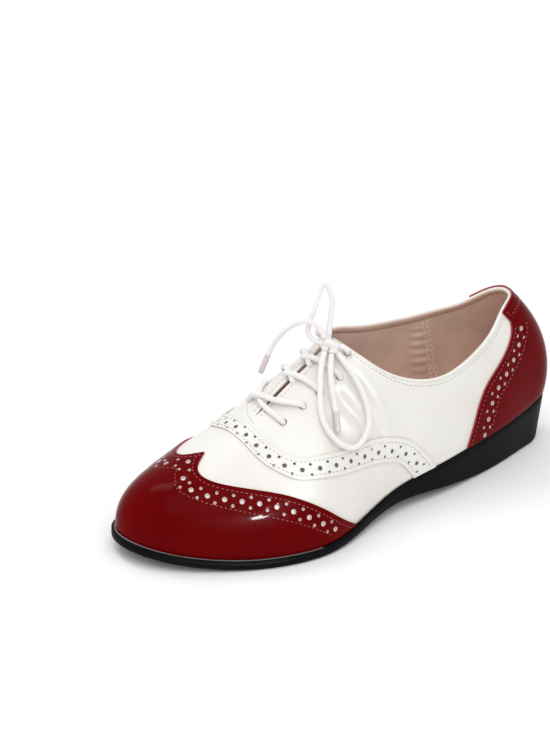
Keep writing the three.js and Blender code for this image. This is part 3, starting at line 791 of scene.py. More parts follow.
def make_lace_cotton():
    """A round braid: two sets of slanting ribs, read from the cord's own lengths"""
    material, shader, add, link = new_material("lace_cotton")
    run = add("ShaderNodeUVMap", uv_map="run").outputs["UV"]
    split = add("ShaderNodeSeparateXYZ", {"Vector": run}).outputs

    def maths(operation, *values):
        return add("ShaderNodeMath", dict(enumerate(values)), operation=operation).outputs[0]

    around = maths("MULTIPLY", split["X"], 2 * math.pi * BRAID_RIBS)
    ribs = []
    for slant in (1, -1):
        along = maths("MULTIPLY", split["Y"], slant * 2 * math.pi / BRAID_PITCH)
        ribs.append(maths("SINE", maths("ADD", along, around)))
    weave = maths("MAXIMUM", *ribs)
    bump = add("ShaderNodeBump", {"Height": weave, "Strength": 0.35, "Distance": BRAID_DEPTH * MM})
    link(bump.outputs["Normal"], "Normal")
    # The colour follows the weave: the grooves between the ribs are painted darker as shade and the crests
    # lighter
    link(tint(add, ramp(add, weave, -0.6, 0.6), (0.74, 0.7, 0.69), (0.88, 0.86, 0.85)), "Base Color")
    set_inputs(shader, {"Roughness": 0.75, "Sheen Weight": 0.25})
    return material


WHITE = make_white_leather()
RED = make_red_patent()
RED_EDGE = make_plain("red_patent_edge", ((0.42, 0.06, 0.07), (0.34, 0.035, 0.045)), 0.5, 0.5, 0.2)
PALE_EDGE = make_plain("punched_edge", ((0.8, 0.66, 0.64), (0.72, 0.56, 0.54)), 0.6, 0.5, 0.2)
WHITE_EDGE = make_plain("white_leather_edge", ((0.66, 0.64, 0.62), (0.58, 0.56, 0.53)), 0.6, 0.5, 0.2)
LINING = make_plain("lining_leather", ((0.8, 0.615, 0.52), (0.67, 0.5, 0.42)), 0.55, 0.8, 0.25)
BLACKS = (0.004, 0.0042, 0.0048), (0.006, 0.006, 0.007)
RUBBER = make_plain("sole_rubber", BLACKS, 0.42, 0.6, 0.22, 0.04)
BACKING = make_plain("dark_backing", ((0.13, 0.128, 0.13), (0.18, 0.175, 0.175)), 0.9, 0.5, 0.3)
THREAD_GREY = make_plain("thread_grey", ((0.5, 0.5, 0.5), (0.4, 0.4, 0.41)), 0.7, 0.2, 0.4)
THREAD_PINK = make_plain("thread_pink", ((0.42, 0.155, 0.155), (0.33, 0.11, 0.115)), 0.6, 0.2, 0.4)
THREAD_BEIGE = make_plain("thread_beige", ((0.95, 0.8, 0.7), (0.85, 0.7, 0.6)), 0.7, 0.2, 0.4)
TIP = make_plain("lace_tip", ((0.68, 0.61, 0.6), (0.6, 0.53, 0.53)), 0.3, 0.5, 0.05)
# The sole's top edge at the front: a lighter grey that paints its highlight
RIM_HIGHLIGHT = make_plain("sole_rim_highlight", ((0.21, 0.185, 0.19), (0.14, 0.125, 0.13)), 0.4, 0.5, 0.2)
COTTON = make_lace_cotton()


# Meshes
def piece(name, points, faces, materials, nodes=(), face_materials=None, runs=None):
    """A named mesh of points on the last, riding on the shoe"""
    mesh = bpy.data.meshes.new(name)
    mesh.from_pydata(((np.asarray(points) + origin) * MM).tolist(), [], faces)
    for material in materials:
        mesh.materials.append(material)
    if face_materials is not None:
        mesh.polygons.foreach_set("material_index", face_materials)
    if runs is not None:
        layer = mesh.uv_layers.new(name="run")
        layer.data.foreach_set("uv", np.asarray(runs, float).ravel())
    mesh.shade_smooth()
    mesh.validate()
    obj = add_object(name, mesh)
    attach(obj, "root")
    if nodes:
        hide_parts(*nodes)
    return obj


def shell(name, outer, inner, ring, materials, nodes=(), open_top=None):
    """A closed shell between two grids with the same rows. A ring joins its last column to its first;
    open_top says which spans of columns have a free top edge."""
    rows, wide = outer.shape[:2]
    points = np.concatenate([outer.reshape(-1, 3), inner.reshape(-1, 3)])
    back = rows * wide
    faces = []
    spans = wide if ring else wide - 1
    for j in range(spans):
        k = (j + 1) % wide
        for i in range(rows - 1):
            low = i * wide
            high = low + wide
            faces.append((low + j, low + k, high + k, high + j))
            faces.append((back + low + k, back + low + j, back + high + j, back + high + k))
        faces.append((back + j, back + k, k, j))
        if open_top is None or open_top[j]:
            top = (rows - 1) * wide
            faces.append((top + j, top + k, back + top + k, back + top + j))
    if not ring:
        for i in range(rows - 1):
            low = i * wide
            high = low + wide
            faces.append((low, high, back + high, back + low))
            faces.append((low + wide - 1, back + low + wide - 1, back + high + wide - 1, high + wide - 1))
    obj = piece(name, points, faces, materials, nodes)
    tidy(obj)
    return obj


def tidy(obj):
    """Merges the vertices that meet and turns the faces out."""
    work = bmesh.new()
    work.from_mesh(obj.data)
    bmesh.ops.remove_doubles(work, verts=work.verts, dist=0.002 * MM)
    bmesh.ops.dissolve_degenerate(work, edges=work.edges, dist=0.001 * MM)
    bmesh.ops.recalc_face_normals(work, faces=work.faces)
    work.to_mesh(obj.data)
    work.free()
    obj.data.shade_smooth()


# Charts: two coordinates on the upper that stand for a place
class Chart:
    def __init__(self, place):
        self.place = place

    def point(self, uv, lift=0.0):
        turn, arch = self.place(uv[..., 0], uv[..., 1])
        return surface(turn, arch, lift)

    def frame(self, uv):
        """Points, the two directions per unit of each coordinate, and the outward normal"""
        tiny = 1e-4
        here = self.point(uv)
        along = (self.point(uv + [tiny, 0]) - self.point(uv - [tiny, 0])) / (2 * tiny)
        across = (self.point(uv + [0, tiny]) - self.point(uv - [0, tiny])) / (2 * tiny)
        turn, arch = self.place(uv[..., 0], uv[..., 1])
        outward = skin_normal(turn, *side_and_rise(arch))
        normal = unit(np.cross(along, across))
        sign = np.sign((normal * outward).sum(-1, keepdims=True))
        return here, along, across, normal * np.where(sign == 0, 1, sign)

    def moved(self, uv, shift):
        """Coordinates moved by short lengths along the surface"""
        _, along, across, _ = self.frame(uv)
        a = (along * along).sum(-1)
        b = (along * across).sum(-1)
        c = (across * across).sum(-1)
        p = (shift * along).sum(-1)
        q = (shift * across).sum(-1)
        det = a * c - b * b
        return uv + np.stack([(c * p - b * q) / det, (a * q - b * p) / det], axis=-1)

    def beside(self, line, distance):
        """A line moved sideways, to the left of its run as seen from outside"""
        steps = max(int(math.ceil(np.abs(distance).max() / 0.8)), 1)
        for _ in range(steps):
            here, _, _, normal = self.frame(line)
            tangent = unit(np.gradient(here, axis=0))
            line = self.moved(line, np.cross(normal, tangent) * distance / steps)
        return line

    def walk(self, line, pitch, start=0.0, end=0.0):
        """Places along a line at an even pitch, the pitch fitted to the line's length"""
        points = self.point(line)
        along = run_along(points)
        length = along[-1] - start - end
        count = max(int(round(length / pitch)), 1)
        at = start + np.linspace(0, length, count + 1)
        return at_lengths(line, along, at)

    def ring(self, centre, radius, count):
        """A circle on the surface"""
        _, along, _, normal = self.frame(centre[None])
        first = unit(along)[0]
        second = np.cross(normal[0], first)
        shift = radius * circle(even_angles(count), first, second)
        return self.moved(np.repeat(centre[None], count, axis=0), shift)


def inside(points, loop):
    """Which points lie inside a closed polygon"""
    x, y = points[:, 0], points[:, 1]
    found = np.zeros(len(points), bool)
    for (x1, y1), (x2, y2) in zip(loop, np.roll(loop, -1, axis=0)):
        crosses = (y1 > y) != (y2 > y)
        with np.errstate(divide="ignore", invalid="ignore"):
            at = (x2 - x1) * (y - y1) / (y2 - y1) + x1
        found ^= crosses & (x < at)
    return found


def panel(name, chart, outline, holes, grid, scale, lifts, materials, nodes=()):
    """A leather piece with real holes: a triangulated face, rolled rims and a back face.

    outline is a closed line in the chart, holes are (centre, radius), grid the spacing of the inner
    points and scale what makes the chart roughly even. lifts are the heights of front and back."""
    scale = np.array(scale)
    rim = RIM_RADIUS
    loops = [outline]
    loops += [chart.ring(np.asarray(c), r + rim, BIG_SIDES if r > 0.8 else SMALL_SIDES) for c, r in holes]
    edges = []
    start = 0
    for loop in loops:
        edges += [(start + i, start + (i + 1) % len(loop)) for i in range(len(loop))]
        start += len(loop)
    borders = np.concatenate(loops)
    low = outline.min(axis=0)
    high = outline.max(axis=0)
    rows = []
    for j, v in enumerate(np.arange(low[1], high[1], grid[1])):
        u = np.arange(low[0] + (j % 2) * grid[0] / 2, high[0], grid[0])
        rows.append(pairs(u, v))
    inner = np.concatenate(rows)
    inner = inner[inside(inner, outline)]
    near = KD(chart.point(borders))
    inner = inner[near.nearest(chart.point(inner))[0] > BORDER_CLEAR]
    if holes:
        centres = KD(chart.point(np.array([c for c, _ in holes])))
        distance, which = centres.nearest(chart.point(inner))
        radii = np.array([r for _, r in holes])[which]
        inner = inner[distance > radii + rim + HOLE_CLEAR]
    flat = np.concatenate([borders, inner]) * scale
    found = geometry.delaunay_2d_cdt([Vector(p) for p in flat], edges, [], 0, 1e-7)
    uv = np.array([tuple(p) for p in found[0]]) / scale
    source = [ids[0] if ids else -1 for ids in found[3]]
    loop_of = np.concatenate([np.full(len(loop), i) for i, loop in enumerate(loops)])
    owner = np.array([loop_of[i] if 0 <= i < len(loop_of) else -1 for i in source])
    faces = np.array([f for f in found[2] if len(f) == 3])
    owners = owner[faces]
    in_hole = (owners[:, 0] > 0) & (owners[:, 0] == owners[:, 1]) & (owners[:, 1] == owners[:, 2])
    faces = faces[~in_hole & inside(uv[faces].mean(axis=1), outline)]

    normal = chart.frame(uv)[3]
    front = chart.point(uv, lifts[0])
    rear = chart.point(uv, lifts[1])
    corner = front[faces]
    facing = np.cross(corner[:, 1] - corner[:, 0], corner[:, 2] - corner[:, 0])
    wrong = (facing * normal[faces[:, 0]]).sum(-1) < 0
    faces[wrong] = faces[wrong][:, ::-1]

    following = {}
    directed = {(a, b) for f in faces.tolist() for a, b in ((f[0], f[1]), (f[1], f[2]), (f[2], f[0]))}
    for a, b in directed:
        if (b, a) not in directed:
            following[a] = b
    before = {b: a for a, b in following.items()}
    edge_ids = np.array(sorted(set(following) & set(before)))
    tangent = unit(front[[following[i] for i in edge_ids]] - front[[before[i] for i in edge_ids]])
    out = unit(np.cross(tangent, normal[edge_ids]))
    rings = []
    for angle in (30, 60, 90):
        turned = math.radians(angle)
        drop = rim * (1 - math.cos(turned))
        rings.append(front[edge_ids] + out * rim * math.sin(turned) - normal[edge_ids] * drop)
    rear[edge_ids] += out * rim
    count = len(uv)
    place = {int(i): n for n, i in enumerate(edge_ids)}
    points = np.concatenate([front, rear, *rings])

    all_faces = faces.tolist()
    all_faces += (faces[:, ::-1] + count).tolist()
    kinds = [0] * len(all_faces)
    for a, b in following.items():
        if a not in place or b not in place:
            continue
        ladder = [(a, b)]
        for ring_number in range(3):
            base = 2 * count + ring_number * len(edge_ids)
            ladder.append((base + place[a], base + place[b]))
        ladder.append((a + count, b + count))
        for (a1, b1), (a2, b2) in zip(ladder, ladder[1:]):
            all_faces.append((b1, a1, a2, b2))
        kinds += [0, 0, 1, 1] if owner[a] == 0 else [0, 2, 2, 2]
    return piece(name, points, all_faces, materials, nodes, kinds)


class KD:
    """Nearest distances to a set of points"""

    def __init__(self, points):
        self.tree = KDTree(len(points))
        for i, point in enumerate(points):
            self.tree.insert(point, i)
        self.tree.balance()

    def nearest(self, points):
        found = [self.tree.find(point) for point in points]
        return np.array([f[2] for f in found]), np.array([f[1] for f in found], int)


def stitch_mesh(name, places, tangents, normals, material, slot, length=STITCH_LENGTH, thread=THREAD):
    """One short bead of thread at each place, half sunk into the leather"""
    sides = 6
    profile = [(-0.5, 0.35), (-0.32, 0.85), (0.0, 1.0), (0.32, 0.85), (0.5, 0.35)]
    local = []
    for x, r in profile:
        for i in range(sides):
            angle = 2 * math.pi * i / sides
            local.append((x * length, r * thread / 2 * math.cos(angle), r * thread / 2 * math.sin(angle)))
    local = np.array(local)
    quads = ring_faces(len(profile), sides) + end_faces(len(profile), sides)
    tangents = unit(tangents - (tangents * normals).sum(-1, keepdims=True) * normals)
    across = np.cross(normals, tangents)
    points = []
    faces = []
    for i, (p, t, b, n) in enumerate(zip(places, tangents, across, normals)):
        points.append(p + local[:, :1] * t + local[:, 1:2] * b + local[:, 2:] * n)
        faces += [tuple(v + i * len(local) for v in quad) for quad in quads]
    return piece(name, np.concatenate(points), faces, [material])


def seam(name, runs, lift, material, slot, length=STITCH_LENGTH, thread=THREAD):
    """Rows of stitches along lines of charts"""
    places, tangents, normals = [], [], []
    for chart, line in runs:
        at = chart.walk(line, STITCH_PITCH, SEAM_INSET, SEAM_INSET)
        normal = chart.frame(at)[3]
        points = chart.point(at, lift)
        places.append((points[1:] + points[:-1]) / 2)
        tangents.append(np.diff(points, axis=0))
        normals.append(unit(normal[1:] + normal[:-1]))
    parts = [np.concatenate(part) for part in (places, tangents, normals)]
    return stitch_mesh(name, *parts, material, slot, length, thread)


# Cords
def rail(route, step):
    """A centripetal curve through points, as points about a step apart"""
    route = np.asarray(route, float)
    route = np.concatenate([[2 * route[0] - route[1]], route, [2 * route[-1] - route[-2]]])
    knots = np.concatenate([[0], np.cumsum(np.linalg.norm(np.diff(route, axis=0), axis=1) ** 0.5)])
    curve = []
    for i in range(1, len(route) - 2):
        t0, t1, t2, t3 = knots[i - 1 : i + 3]
        p0, p1, p2, p3 = route[i - 1 : i + 3]
        count = max(int(np.linalg.norm(p2 - p1) / step), 2)
        for t in np.linspace(t1, t2, count, endpoint=False):
            a1 = (t1 - t) / (t1 - t0) * p0 + (t - t0) / (t1 - t0) * p1
            a2 = (t2 - t) / (t2 - t1) * p1 + (t - t1) / (t2 - t1) * p2
            a3 = (t3 - t) / (t3 - t2) * p2 + (t - t2) / (t3 - t2) * p3
            b1 = (t2 - t) / (t2 - t0) * a1 + (t - t0) / (t2 - t0) * a2
            b2 = (t3 - t) / (t3 - t1) * a2 + (t - t1) / (t3 - t1) * a3
            curve.append((t2 - t) / (t2 - t1) * b1 + (t - t1) / (t2 - t1) * b2)
    curve.append(route[-2])
    return np.array(curve)


def tube(name, path, radius, material, nodes=(), sides=16, rounded=True):
    """A round cord along a path, with its ends rounded over"""
    path = np.asarray(path)
    radii = np.broadcast_to(np.asarray(radius, float), (len(path),)).copy()
    tangents = unit(np.gradient(path, axis=0))
    if rounded:
        caps = [math.radians(a) for a in (90, 60, 30)]
        reach = radii[0]
        head = [path[0] + tangents[0] * reach * (1 - math.sin(a)) for a in caps]
        tail = [path[-1] - tangents[-1] * reach * (1 - math.sin(a)) for a in reversed(caps)]
        keep = np.ones(len(path), bool)
        keep[np.linalg.norm(path - path[0], axis=1) < reach] = False
        keep[np.linalg.norm(path - path[-1], axis=1) < reach] = False
        sizes = [math.cos(a) * radii[0] + 0.02 for a in caps]
        path = np.concatenate([head, path[keep], tail])
        radii = np.concatenate([sizes, radii[keep], sizes[::-1]])
        tangents = unit(np.gradient(path, axis=0))
    across = unit(np.cross(tangents[0], (0.3, 0.2, 0.9)))
    points = []
    for p, t, r in zip(path, tangents, radii):
        across = unit(across - (across @ t) * t)
        up = np.cross(t, across)
        points.append(p + r * circle(even_angles(sides), across, up))
    points = np.concatenate(points)
    run = run_along(path)
    faces = ring_faces(len(path), sides) + end_faces(len(path), sides)
    runs = []
    for near, far in zip(run, run[1:]):
        for j in range(sides):
            u1, u2 = j / sides, (j + 1) / sides
            runs += [(u1, near), (u2, near), (u2, far), (u1, far)]
    runs += [(0, run[0])] * sides + [(0, run[-1])] * sides
    return piece(name, points, faces, [material], nodes, runs=runs)


def join_runs(*runs):
    return np.concatenate([np.atleast_2d(run) for run in runs])


# The bow and the laces
make_camera()
lace_radius = LACE_DIAMETER / 2


def hole_place(pair, inner):
    share, rise = EYELETS[pair]
    return float(turn_of(share)), 2 - rise if inner else rise


def laid_lace(places, lifted):
    """A lace over the leather through places, as turn and arch. It rises out of a hole and goes down
    again at its end; lifted is how far it also rises, as a share of its length so far."""
    places = np.array(places, float)
    first_step = places[0] - places[1]
    reach = np.linalg.norm(surface(*places[1]) - surface(*places[0]))
    places[0] += first_step * LACE_BEYOND / reach
    knots = np.linspace(0, 1, len(places))
    steps = np.linspace(0, 1, 161)
    turn = smooth_curve(knots, places[:, 0])(steps)
    arch = smooth_curve(knots, places[:, 1])(steps)
    flat = surface(turn, arch)
    run = run_along(flat)
    clear = lace_radius + LACE_CLEAR
    lift = clear + LACE_OVER * LACE_DIAMETER * lifted(run / run[-1])
    for distance in (run, run[-1] - run):
        inward = np.clip(LACE_BEND - distance, 0, LACE_BEND)
        lift = lift - (LACE_BEND - np.sqrt(LACE_BEND**2 - inward**2)) * lift / clear
    depths = np.array(LACE_DEPTHS)
    under = surface(turn[0] + 0 * depths, arch[0] + 0 * depths, depths)
    beyond = surface(turn[-1] + 0 * depths, arch[-1] + 0 * depths, depths[::-1])
    return np.concatenate([under, surface(turn, arch, lift), beyond])


def even(line, step):
    """The same line with points an even step apart"""
    run = run_along(line)
    at = np.linspace(0, run[-1], max(int(run[-1] / step), 2) + 1)
    return at_lengths(line, run, at)


def level(steps):
    return 0 * steps


def arched(steps):
    return np.sin(np.pi * steps**2) ** 2


def rising(steps):
    return steps**2


# The knot: the strands that pass through it, and one lace wound round them
knot = np.array(KNOT, float)
knot_axis = unit(np.array(LOOP_DOWN[0], float) - np.array(LOOP_UP[0], float))
knot_side = unit(np.cross(knot_axis, (0, 0, 1.0)))
knot_up = np.cross(knot_side, knot_axis)
strand_ends = [
    (LOOP_UP[0], LOOP_DOWN[0]),
    (LOOP_UP[-1], LOOP_DOWN[-1]),
    (END_1[0], END_2[0]),
    (TOP_INNER[-1], TOP_OUTER[-1]),
]
knot_pieces = []
for number, (first, last) in enumerate(strand_ends):
    swing = 2 * math.pi * number / len(strand_ends)
    centre = knot + KNOT_SPREAD * (math.cos(swing) * knot_side + math.sin(swing) * knot_up)
    path = rail([first, centre, last], 0.4)
    knot_pieces.append(tube(f"knot_strand_{number + 1}", path, lace_radius, COTTON, rounded=False))
wound = np.linspace(*KNOT_WOUND, 90) * math.pi
coil = (
    knot
    + KNOT_WRAP * circle(wound, knot_side, knot_up)
    + (wound / math.pi - 0.7)[:, None] * KNOT_PITCH * knot_axis
)
knot_wrap = tube("bow_knot", coil, lace_radius, COTTON, ["lace_knot"])
knot_pieces.append(knot_wrap)

bow = {}
for name, route in (("loop_up", LOOP_UP), ("loop_down", LOOP_DOWN), ("end_1", END_1), ("end_2", END_2)):
    path = rail(route, 0.7)
    nodes = [f"lace_{name}"]
    bow[name] = (tube(f"bow_{name}", path, lace_radius, COTTON, nodes), path)


def lace_tip(name, path):
    """The stiff tip over a lace's last stretch"""
    run = np.linalg.norm(path - path[-1], axis=1)
    part = path[run < TIP_LENGTH]
    taper = np.interp(np.linalg.norm(part - part[-1], axis=1), [0, 1.5, TIP_LENGTH], [0.86, 1.0, 1.0])
    radii = taper * (lace_radius + 0.12)
    return tube(name, part, radii, TIP)


tips = {name: lace_tip(f"tip_{name}", bow[name][1]) for name in ("end_1", "end_2")}
for name, (obj, path) in bow.items():
    is_end = name.startswith("end")
    on_it = [tips[name]] if is_end else []
    if name == "loop_up":
        on_it += knot_pieces


def cross(name, places, lifted, nodes):
    tube(f"crossing_{name}", even(laid_lace(places, lifted), 0.6), lace_radius, COTTON, nodes)


def at_share(share, arch):
    return float(turn_of(share)), arch


for word, inner, via, lifted in (("over", False, OVER_VIA, arched), ("under", True, UNDER_VIA, level)):
    between = [at_share(*place) for place in via]
    ends = [hole_place(1, inner), hole_place(0, not inner)]
    cross(f"1_{word}", [ends[0], *between, ends[1]], lifted, [] if inner else ["lace_crossing_1"])
for pair in (2, 3):
    dive = EYELETS[pair - 1][0] - DIVE_AHEAD
    for word, inner, lifted in (("over", False, rising), ("under", True, level)):
        end = at_share(dive, 1 - CROSSING_REACH if inner else 1 + CROSSING_REACH)
        nodes = [] if inner else [f"lace_crossing_{pair}"]
        cross(f"{pair}_{word}", [hole_place(pair, inner), end], lifted, nodes)
for name, route, inner in (("outer", TOP_OUTER, False), ("inner", TOP_INNER, True)):
    turn, arch = hole_place(4, inner)
    start = [surface(turn, arch, depth)[None] for depth in TOP_LACE_DEPTHS]
    path = rail(np.concatenate([*start, np.array(route, float)]), 0.5)
    tube(f"top_lace_{name}", path, lace_radius, COTTON, [f"lace_top_{name}"])


# The sole and the insole
def sole_side(turn, side):
    """One side of the sole's sections, from its top edge with the rim line down to the tread"""
    share = share_of(turn)
    top = feather_height(turn) - SEAT_GAP
    bevel = HEEL_BEVEL * np.maximum(1 - share / BEVEL_TO, 0) ** 2
    bottom = tread_height(turn) + bevel
    reach = welt_reach(turn)
    tuck = HEEL_TUCK * np.maximum(1 - share / TUCK_TO, 0)
    bead = np.minimum(BEAD_AT, reach - BEAD_INSET)
    rows = [(bead + out, top + up) for out, up in BEAD_ROWS]
    rows += [(reach + out, top + up) for out, up in SIDE_ROWS]
    start = top - SIDE_FROM
    end = bottom + TREAD_ROUND
    for step in np.linspace(0, 1, 7):
        rows.append((reach - tuck * step, start + (end - start) * step))
    for angle in (22, 45, 67, 90):
        turned = math.radians(angle)
        out = reach - tuck - TREAD_ROUND * (1 - math.cos(turned))
        rows.append((out, bottom + TREAD_ROUND * (1 - math.sin(turned))))
    rows.append((reach - tuck - TREAD_ROUND - TREAD_MARGIN, bottom))
    return [beside_feather(turn, side, out, height) for out, height in rows]


def make_sole():
    turns = np.linspace(0, 1, 161)
    outer = np.stack(sole_side(turns, 1.0), axis=1)
    inner = np.stack(sole_side(turns, -1.0), axis=1)[:, ::-1]
    sections = np.concatenate([outer, inner], axis=1)
    wide = sections.shape[1]
    faces = ring_faces(len(sections), wide)
    kinds = []
    for turn in turns[:-1]:
        # The top rows at the front take the lighter grey of the painted highlight
        in_front = share_of(turn) > HIGHLIGHT_FROM
        kinds += [int(in_front and min(j, wide - 2 - j) < HIGHLIGHT_ROWS) for j in range(wide)]
    points = sections.reshape(-1, 3)
    tidy(piece("sole_unit", points, faces, [RUBBER, RIM_HIGHLIGHT], ["sole"], kinds))


def make_insole():
    turns = np.linspace(0, 1, 91)
    inset = -(WALL + INSOLE_CLEAR)
    left = beside_feather(turns, 1.0, inset, 0.0)
    right = beside_feather(turns, -1.0, inset, 0.0)
    across = np.sin(np.linspace(-0.5, 0.5, 15) * math.pi)
    middle_line = (left + right) / 2
    half = (left - right) / 2
    grid = middle_line[:, None] + half[:, None] * across[None, :, None]
    foot = feather_height(turns)[:, None] + 0 * across[None]
    high = grid.copy()
    low = grid.copy()
    across = across[None]
    high[..., 2] = foot + INSOLE_THICKNESS - INSOLE_ROUND * across**6 + INSOLE_DISH * across**2
    low[..., 2] = foot
    shell("insole_pad", high, low, False, [LINING], ["insole"])


make_sole()
make_insole()


# The upper's leather and its lining
ring_turns = np.linspace(0, 1, RING_COLUMNS + 1)
foot_turn = float(turn_of(THROAT_FOOT))
ring_turns[int(round(foot_turn * RING_COLUMNS))] = foot_turn
ring_turn = np.concatenate([ring_turns, ring_turns[-2:0:-1]])
ring_side = np.concatenate([np.ones(len(ring_turns)), -np.ones(len(ring_turns) - 2)])
ring_edge = edge_rise(ring_turn, ring_side)
ring_free = np.minimum(share_of(ring_turn), share_of(np.roll(ring_turn, -1))) < THROAT_FOOT - 1e-6


def arch_of(rise, side):
    return np.where(side > 0, rise, 2 - rise)


def rise_per_mm(turn, side, rise):
    """How much the rise grows over a millimetre of leather"""
    tiny = 1e-3
    step = skin(turn, side, rise) - skin(turn, side, rise - tiny)
    return tiny / np.maximum(np.linalg.norm(step, axis=-1), 1e-6)


def seam_share(rise):
    """Where the lining's seam on the inner side lies at a rise: it leans back towards the foot"""
    return ZIGZAG_AT - ZIGZAG_LEAN * (ZIGZAG_HEAD - rise)


def folds(turn, side, rise):
    """The lining's gathers in front of its seam on the inner side"""
    ahead = (share_of(turn) - seam_share(rise) - FOLDS_AHEAD) / FOLD_WIDTH
    below = edge_rise(turn, side) - rise
    window = np.exp(-(ahead**2)) * smoothstep(rise, 0.05, 0.15) * smoothstep(below, 0.03, 0.1)
    height = skin(turn, side, rise)[..., 2]
    wave = np.cos(2 * np.pi * (height - FOLD_SLANT * share_of(turn) - 0.5 * ahead**2) / FOLD_PITCH)
    return np.where(side < 0, FOLD_DEPTH * window * wave, 0)


def wall_grid(levels, lifts, below_edge, inside_out=False):
    """Rows of the ring at shares of the edge's rise, each with a height and a distance below the edge"""
    unit_rise = rise_per_mm(ring_turn, ring_side, ring_edge)
    is_open = share_of(ring_turn) < THROAT_FOOT - 1e-6
    rows = []
    for share, lift, drop in zip(levels, lifts, below_edge):
        rise = np.maximum(share * ring_edge - np.where(is_open, drop * unit_rise, 0), 0)
        height = np.where(is_open, lift, lifts[0]) + (folds(ring_turn, ring_side, rise) if inside_out else 0)
        rows.append(surface(ring_turn, arch_of(rise, ring_side), height))
    return np.stack(rows)


def make_upper():
    body = 1 - (1 - np.linspace(0, 1, UPPER_ROWS + 1)) ** ROW_CROWDING
    levels = np.concatenate([body[:-1], [1, 1, 1]])
    drops = np.concatenate([EDGE_DROPS[0] * body[:-1], EDGE_DROPS])
    outer_lifts = np.concatenate([0 * body[:-1], EDGE_TUCKS])
    inner_lifts = np.concatenate([0 * body[:-1] - LEATHER, [-LEATHER, -LEATHER, -LEATHER + 0.1]])
    leather = shell(
        "upper_leather",
        wall_grid(levels, outer_lifts, drops),
        wall_grid(levels, inner_lifts, drops),
        True,
        [WHITE],
        ["upper"],
        ring_free,
    )
    levels = np.linspace(0, 1, LINING_ROWS)
    drops = LINING_DROP * levels
    lining = shell(
        "upper_lining",
        wall_grid(levels, 0 * levels - LEATHER - LINING_GAP, drops),
        wall_grid(levels, 0 * levels - WALL, drops, True),
        True,
        [LINING],
        (),
        ring_free,
    )
    points = []
    faces = []
    sides = PUNCH_SIDES
    over, under = PUNCH_REACH
    for pair in range(len(EYELETS)):
        for inner in (False, True):
            turn, arch = hole_place(pair, inner)
            turn = np.array([turn])
            normal = skin_normal(turn, *side_and_rise(np.array([arch])))[0]
            centre = surface(turn, np.array([arch]))[0]
            first = unit(np.cross(normal, (1.0, 0.1, 0)))
            second = np.cross(normal, first)
            ring = EYELET_DIAMETER / 2 * circle(even_angles(sides), first, second)
            base = len(points)
            points += list(centre + normal * over + ring) + list(centre - normal * under + ring)
            for i in range(sides):
                k = (i + 1) % sides
                faces.append((base + i, base + sides + i, base + sides + k, base + k))
            faces.append(tuple(base + i for i in range(sides)))
            faces.append(tuple(base + sides + i for i in reversed(range(sides))))
    mesh = bpy.data.meshes.new("punches")
    mesh.from_pydata(((np.array(points) + origin) * MM).tolist(), [], faces)
    punches = add_object("punches", mesh)
    for wall in (leather, lining):
        cut = wall.modifiers.new("lace_holes", "BOOLEAN")
        cut.operation = "DIFFERENCE"
        cut.solver = "EXACT"
        cut.use_self = True
        cut.object = punches
    bpy.context.view_layer.update()
    graph = bpy.context.evaluated_depsgraph_get()
    for wall in (leather, lining):
        made = bpy.data.meshes.new_from_object(wall.evaluated_get(graph))
        wall.modifiers.clear()
        wall.data = made
        made.shade_smooth()
    bpy.data.objects.remove(punches)


make_upper()


# The collar's binding, from one facing's corner round the heel to the other's
def facing_corner(side):
    """The turn at which the collar meets the throat"""
    turns = np.linspace(float(turn_of(COLLAR_END)), float(turn_of(THROAT_FOOT)), 400)
    sides = side + 0 * turns
    collar = rise_at(turns, sides, collar_at(turns, sides))
    return float(turns[np.argmax(collar >= throat_rise(turns))])


def collar_line(first, last, count):
    """Places along the collar as signed turns, positive on the outer side"""
    signed = np.linspace(first, last, count)
    turn, side = split_sign(signed)
    return turn, side, rise_at(turn, side, collar_at(turn, side))


def binding(name, first, last, angles, material, depth):
    """A rolled edge over the collar: part of a round bead between two signed turns"""
    turn, side, rise = collar_line(first, last, 240)
    arch = arch_of(rise, side)
    unit_rise = rise_per_mm(turn, side, rise)
    up = unit(surface(turn, arch, -WALL / 2) - surface(turn, arch_of(rise - unit_rise, side), -WALL / 2))
    out = skin_normal(turn, side, rise)
    centre = surface(turn, arch, -WALL / 2) - up * BINDING_SEAT
    half = WALL / 2 + BINDING_SWELL
    rows = []
    for angle in angles:
        turned = math.radians(angle)
        rows.append(centre + out * half * math.cos(turned) + up * BINDING_HEIGHT * math.sin(turned))
    drop = up * depth
    front = [centre + out * half * math.cos(math.radians(angles[0])) - drop]
    outer = np.stack(front + rows)
    inner = np.stack([centre - drop] + [centre - up * 0.2] * len(rows))
    return shell(name, outer, inner, False, [material])


outer_corner = facing_corner(1.0)
inner_corner = -facing_corner(-1.0)
tab_turn = float(turn_of(COUNTER_EDGE[1][-1]))
arc_out = np.linspace(0, 115, 10)
arc_in = np.linspace(180, 115, 6)
binding("collar_edge", inner_corner, outer_corner, arc_out, WHITE, 1.0)
binding("collar_edge_lining", inner_corner, outer_corner, arc_in, LINING, LINING_BAND)


# The winged toe cap
cap_outer = smooth_curve(CAP_EDGE_OUTER[0], CAP_EDGE_OUTER[1])
cap_inner = smooth_curve(CAP_EDGE_INNER[0], CAP_EDGE_INNER[1])
row_ahead = smooth_curve(CAP_ROWS[0], CAP_ROWS[1])
seam_ahead = smooth_curve(CAP_ROWS[0], CAP_ROWS[2])


def cap_edge(arch):
    return np.where(arch <= 1, cap_outer(arch), cap_inner(arch))


skin_chart = Chart(lambda u, v: (u, v))


def along_arch(low, high, count, ahead=None):
    """A line in front of the cap's edge, in the skin's own chart"""
    arch = np.linspace(low, high, count)
    share = cap_edge(arch) + (0 if ahead is None else ahead(side_and_rise(arch)[1]))
    return pairs(turn_of(share), arch)


